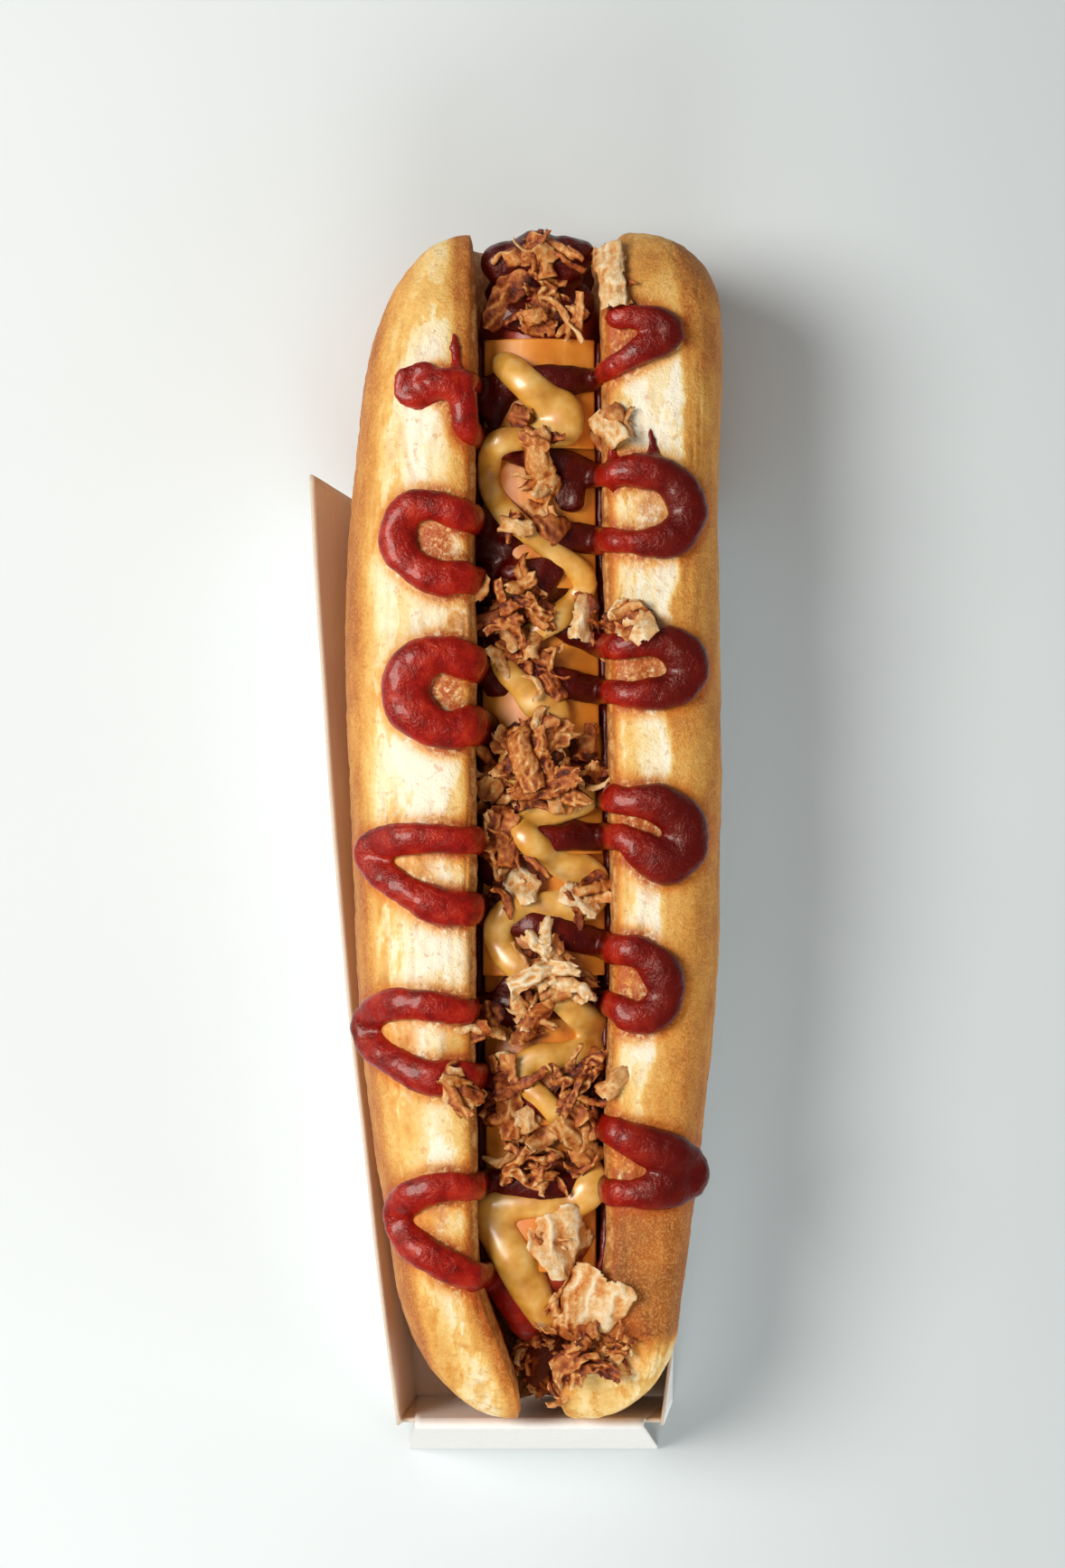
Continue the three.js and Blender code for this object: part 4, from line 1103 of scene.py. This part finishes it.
def bread_finish():
    s = Shader("baked_bread")
    soft = s.noise(13, 3, 0.5, (1, 0.6, 1))
    blotch = s.noise(4, 4, 0.6, (1, 0.45, 1))
    fine = s.noise(0.9, 3, 0.6)
    sand = s.noise(0.42, 2, 0.6)
    crust = s.attribute("crust")
    peel = s.step(s.noise(5, 4, 0.6, (1, 0.32, 1)), 0.47, 0.54)
    pale = s.step(crust, 0.7, 0.3)
    bake = crust + (soft - 0.5) * 0.42 + (blotch - 0.5) * 0.5 + (fine - 0.5) * 0.24
    bake = bake + peel * pale * 0.22 - 0.13
    pale_stops = [(0.0, "#fff6dd"), (0.2, "#f9e4b0"), (0.38, "#f0c573")]
    color = s.ramp(bake, [*pale_stops, (0.56, "#dd9c45"), (0.76, "#b96a26"), (1.0, "#824416")])
    brown = s.step(crust, 0.42, 0.6)
    color = s.blend(s.step(sand, 0.46, 0.7) * brown * 0.4, color, "#e9b670")
    color = s.blend(s.step(sand, 0.5, 0.32) * brown * 0.25, color, "#8f5220")
    worn = s.step(s.noise(10, 3, 0.6, (1, 0.5, 1)), 0.5, 0.6) * s.step(crust, 0.5, 0.3)
    crack = s.step(s.cracks(5, (1, 0.28, 1), 0.9), 0.09, 0.0) * worn
    color = s.blend(crack * 0.22, color, "#c9934e")
    pits = s.step(s.noise(1.4, 2), 0.6, 0.7) * 0.45
    color = s.blend(pits, color, "#cf9148")
    furrows = s.attribute("furrow") * 0.5
    color = s.blend(furrows, color, "#c98a3e")
    crumb = s.noise(2.2, 3) * 0.6 + s.noise(0.7, 3, 0.7) * 0.4
    # The slit's walls and the crust's turn into them are darkened crumb: partly the crumb's colour, partly
    # painted shade.
    wall = s.ramp(crumb, [(0.32, "#86461a"), (0.46, "#b97a3e"), (0.6, "#e6bd80")])
    color = s.blend(s.attribute("cut"), color, wall)
    stain = s.attribute("stain")
    soak = s.step(s.noise(2.2, 3, 0.65), 0.2, 0.52)
    color = s.blend(s.step(stain, 0.0, 0.5) * soak, color, "#f2c894", "MULTIPLY")
    pores = s.step(s.noise(1.1, 3, 0.7), 0.3, 0.56)
    color = s.blend(s.step(stain, 0.3, 1.0) * pores, color, "#b85620")
    grainy = sand * 0.6 + fine * 0.6 + s.noise(2.4, 3, 0.6) * 1.2
    return s.finish(color, 0.64 - stain * 0.25, grainy, 0.28, specular_ior_level=0.35)


def sausage_finish():
    s = Shader("smoked_sausage")
    color = s.ramp(s.noise(5, 3), [(0.3, "#8a2414"), (0.55, "#b23c22"), (0.8, "#cf5a34")])
    return s.finish(color, 0.38, s.noise(1.2, 3), 0.12, coat_weight=0.12, coat_roughness=0.2)


def cheese_finish():
    s = Shader("cheddar")
    tone = s.noise(7, 2)
    color = s.ramp(tone, [(0.25, "#d0701e"), (0.5, "#e28828"), (0.75, "#f0a03e")])
    streak = s.step(s.noise(1.4, 2, 0.5, (1, 0.08, 1)), 0.58, 0.72) * 0.35
    color = s.blend(streak, color, "#f3b867")
    return s.finish(color, 0.42, s.noise(3, 2), 0.08, coat_weight=0.08, coat_roughness=0.3)


def ketchup_finish():
    """Pulpy and glossy, with painted shade: darker on the right lobe and darkest deep in the slit."""
    s = Shader("ketchup")
    x, y, z = (Amount(s, out) for out in s.node("SeparateXYZ", {}, {0: s.place}).outputs)
    pulp = s.noise(0.9, 3, 0.7)
    tone = s.noise(3.4, 3) * 0.7 + pulp * 0.3
    color = s.ramp(tone, [(0.32, "#680702"), (0.5, "#961006"), (0.68, "#b52a12")])
    # Painted shade: the strands darken towards the right lobe's outer side, which faces away from the key
    # light.
    color = s.blend(s.step(x, 12, 27) * 0.85, color, "#460301")
    # Painted shade: sauce lying deep in the slit is darkened, except towards the -Y end.
    color = s.blend(s.step(z, 45, 40) * s.step(y, -88, -74) * 0.85, color, "#2c0201")
    grains = s.noise(0.6, 3, 0.65) + s.noise(1.6, 2) * 0.9
    gloss = {"specular_tint": tint("#ffd0c2"), "coat_weight": 0.26, "coat_roughness": 0.13}
    return s.finish(color, 0.27, grains, 0.23, **gloss)


def mustard_finish():
    s = Shader("honey_mustard")
    color = s.ramp(s.noise(3.5, 2), [(0.3, "#d08a2c"), (0.5, "#e4a63e"), (0.75, "#f2c674")])
    gloss = {"specular_ior_level": 1.0, "coat_weight": 1.0, "coat_roughness": 0.24}
    return s.finish(color, 0.42, s.noise(5, 2), 0.05, **gloss)


def onion_finish():
    """Brown in patches and fibres, with painted light and shade: paler ridges and edges, darker folds and
    hollows.
    """
    s = Shader("fried_onion")
    patch = s.noise(1.6, 4, 0.7)
    fine_lines = {"W": s.attribute("fibre") * 2.2, "Detail": 2.0}
    fibre = s.amount("TexNoise", {"noise_dimensions": "1D"}, fine_lines)
    tone = s.attribute("tone")
    # Painted light and shade: raised ridges and torn edges are made paler, folds darker.
    raised = s.attribute("ridge") * (0.3 - tone * 0.14) + s.attribute("rim") * 0.08
    # Painted shade: spots sunk in hollows under other flakes are made darker.
    fry_and_shade = tone * 0.66 + patch * 0.8 + raised - s.attribute("hollow") * 0.5 - 0.26
    fry_and_shade = fry_and_shade + (fibre - 0.5) * 0.3
    dark_stops = [(0.05, "#581c06"), (0.2, "#923c10"), (0.36, "#be6526")]
    color = s.ramp(fry_and_shade, [*dark_stops, (0.52, "#dc9248"), (0.7, "#efc080"), (0.9, "#fae6c0")])
    rough_face = s.noise(0.5, 3, 0.7) + fibre * 0.35
    return s.finish(color, 0.42, rough_face, 0.3, coat_weight=0.1, coat_roughness=0.25)


def card_finish(name, light, dark, roughness):
    """Card with short fibres lengthwise."""
    s = Shader(name)
    fibre = s.noise(1.6, 3, 0.6, (1, 0.25, 1)) * 0.6 + s.noise(0.5, 2) * 0.4
    color = s.ramp(fibre, [(0.3, dark), (0.7, light)])
    return s.finish(color, roughness, fibre, 0.04)


# ---- Making the pieces ----

bread = bread_mesh()
sausage = sausage_mesh()
slices = [slice_mesh(index) for index in range(len(SLICES))]
bed = tree_of(bread, sausage, *slices)
ketchup, ketchup_line = ketchup_mesh(bed)
mustard = mustard_mesh(tree_of(sausage, *slices, ketchup))
bed += tree_of(ketchup, mustard)
onion, crumbs = onion_mesh(bed), crumb_mesh(bed)

strand_near = KDTree(len(ketchup_line))
for number, point in enumerate(ketchup_line):
    strand_near.insert((point.x, point.y, 0), number)
strand_near.balance()


def lobe_at(point):
    return LEFT if point.x < 0 else RIGHT


def browned(steps, y):
    """How much browner a lobe has got at a Y."""
    return sum(amount * ease(start, full, y) for amount, start, full in steps)


def crust_at(point):
    """How brown the crust is: pale on crests, brown on sides and ends, browner by the slit partly as painted
    shade.
    """
    lobe, y, out = lobe_at(point), point.y, abs(point.x)
    reach, past_edge = along(lobe.reach, y), out - along(lobe.edge, y)
    if lobe is LEFT:
        baked = 0.05 + 0.26 * ease(reach - 13, reach - 7, out) + 0.6 * ease(reach - 7, reach - 0.8, out)
        baked += browned(lobe.brown_ends, y) + ease(6, 1.5, past_edge) * browned(LEFT_RIM_ENDS, y)
    else:
        step = along(BROWN_FROM, y) + 0.9 * grain((0, y, 5), 9) + 0.8 * grain(point, 2.4)
        baked = 0.1 + 0.58 * ease(step - 0.8, step + 0.8, out) + 0.1 * ease(step, reach, out)
        baked = mix(baked + browned(lobe.brown_ends, y), 0.42, ease(-88, -97, y))
    # Browner towards the slit's edge: partly toasted crust, partly painted shade where the crust turns into
    # the slit.
    toast_and_shade = 0.4 * ease(7, 1, past_edge) + 0.5 * ease(2.8, 0.2, past_edge)
    baked += toast_and_shade * (0.8 + 0.6 * grain(point, 8, (1, 3, 1)))
    side = ease(BUN_WIDEST_Z + 9, BUN_WIDEST_Z - 2, point.z)
    most = MOST_BAKED + lobe.browner_low * ease(-60, -74, y)
    baked = min(max(baked, lobe.brown_side * side), most)
    return clamp(mix(baked, BASE_BAKED, ease(7, 2, point.z)))


def cut_at(point):
    """Where the crust turns over into the slit, and down its walls, which get a dark crumb colour, partly
    painted shade.
    """
    edge = along(lobe_at(point).edge, point.y)
    return ease(edge + 1.7, edge + 0.4, abs(point.x)) * ease(SLIT_FLOOR_Z - 6, SLIT_FLOOR_Z, point.z)


def stain_at(point):
    """How much sauce has soaked in: beside the strand, inside its loops, along the slit and in spills."""
    if point.z < BUN_WIDEST_Z:
        return 0.35 * cut_at(point)
    spot, out = (point.x, point.y, 0), abs(point.x)
    _, number, away = strand_near.find(spot)
    ringed = ease(*RINGED_POINTS, len(strand_near.find_range(spot, RINGED_REACH)))
    edge = along(lobe_at(point).edge, point.y)
    nearer = 0.5 + 0.5 * ease(edge + 13, edge + 4, out)
    spilt = max(
        deep * ease(far, far * 0.45, (point.xy - Vector((x, y))).length) for x, y, far, deep in SPILLS
    )
    clear = max(0.0, away - ketchup_line[number].z - 0.2)
    wet = math.exp(-clear / mix(*STAIN_REACH, ringed)) * max(nearer, ringed)
    wet += 0.6 * ease(edge + 3.2, edge, out)
    return clamp(max(wet, spilt)) * (1 - 0.65 * cut_at(point))


for name, value in (("crust", crust_at), ("cut", cut_at), ("stain", stain_at), ("furrow", furrow_at)):
    marked(bread, name, value)

kraft = card_finish("kraft_card", "#fbeede", "#f3e0cb", 0.8)
white = card_finish("white_card", "#fbfaf7", "#f4f2ec", 0.55)
card_edge = card_finish("card_edge", "#e6d6c2", "#d3bfa6", 0.8)
tray = joined([trough_mesh(), tab_mesh(WALL_LEFT), tab_mesh(WALL_RIGHT), end_mesh()])

cheese = cheese_finish()
piece(tray, "folded_tray", ["tray"], [kraft, white, card_edge])
piece(bread, "bread", ["bun"], [bread_finish()])
piece(sausage, "smoked_sausage", ["sausage"], [sausage_finish()])
for number, mesh in enumerate(slices, 1):
    piece(mesh, f"cheddar_{number}", [f"cheese_{number}"], [cheese])
piece(ketchup, "ketchup", [], [ketchup_finish()])
piece(mustard, "mustard", [], [mustard_finish()])
onion_nodes = [f"onion_{number}" for number in range(1, len(ONIONS) + 1)]
fry_and_shade = onion_finish()
piece(onion, "fried_onion", onion_nodes, [fry_and_shade])
piece(crumbs, "onion_crumbs", [], [fry_and_shade])

# ---- Floor, light and camera ----


def backdrop():
    """A flat sheet of pale cloth, with painted shade: soft crease shadows, and darker towards +X as the light
    falls off.
    """
    mesh = bmesh.new()
    bmesh.ops.create_grid(mesh, x_segments=2, y_segments=2, size=TABLE_HALF * MM)
    data = bpy.data.meshes.new("table_top")
    mesh.to_mesh(data)
    mesh.free()
    floor = bpy.data.objects.new("table_top", data)
    floor.location.z = -TABLE_GAP * MM
    bpy.context.scene.collection.objects.link(floor)
    s = Shader("pale_cloth")
    x = Amount(s, s.node("SeparateXYZ", {}, {0: s.place}).outputs[0])
    # Painted shade: soft patches as of crease shadows, and a darkening towards +X for the light's falloff.
    falloff_and_crease_shade = s.noise(130, 2, 0.4, (0.35, 1, 1)) * 0.3 + s.step(x, -90, 120) * 0.7
    color = s.ramp(falloff_and_crease_shade, [(0.1, "#e7eef0"), (0.9, "#cdd5d7")])
    data.materials.append(s.finish(color, 0.75))


def area_light(name, place, target, size, power, color="#ffffff", mirrored=False):
    """A round light, its places and size in metres. Only a mirrored one shows in glossy things."""
    data = bpy.data.lights.new(name, "AREA")
    data.shape, data.size, data.energy = "DISK", size, power
    data.color = tint(color)[:3]
    light = bpy.data.objects.new(name, data)
    light.location = place
    light.visible_glossy = mirrored
    light.rotation_euler = (Vector(target) - Vector(place)).to_track_quat("-Z", "Y").to_euler()
    bpy.context.scene.collection.objects.link(light)


def camera():
    data = bpy.data.cameras.new("camera")
    data.lens, data.sensor_width = CAMERA.lens, CAMERA.sensor
    data.clip_start = 0.01
    made = bpy.data.objects.new("camera", data)
    made.location = (0, CAMERA.y * MM, CAMERA.z * MM)
    bpy.context.scene.collection.objects.link(made)
    bpy.context.scene.camera = made


backdrop()
area_light("key", (-0.72, 0.17, 0.95), (0, 0, 0.03), 0.62, 13.4, "#fffaf4", mirrored=True)
area_light("top", (0.15, -0.2, 1.0), (0, 0, 0.03), 0.7, 0.5, "#ffffff")
area_light("bounce", (0.75, -0.55, 0.13), (0, -0.03, 0.03), 0.5, 3.9, "#ffffff")
area_light("front", (-0.05, -0.8, 0.62), (0, -0.05, 0.02), 0.5, 3.0, "#ffffff")
world = bpy.data.worlds.new("studio")
world.use_nodes = True
world.node_tree.nodes["Background"].inputs["Color"].default_value = tint("#f3f1ee")
world.node_tree.nodes["Background"].inputs["Strength"].default_value = 0.14
bpy.context.scene.world = world
bpy.context.scene.view_settings.view_transform = "Standard"
camera()
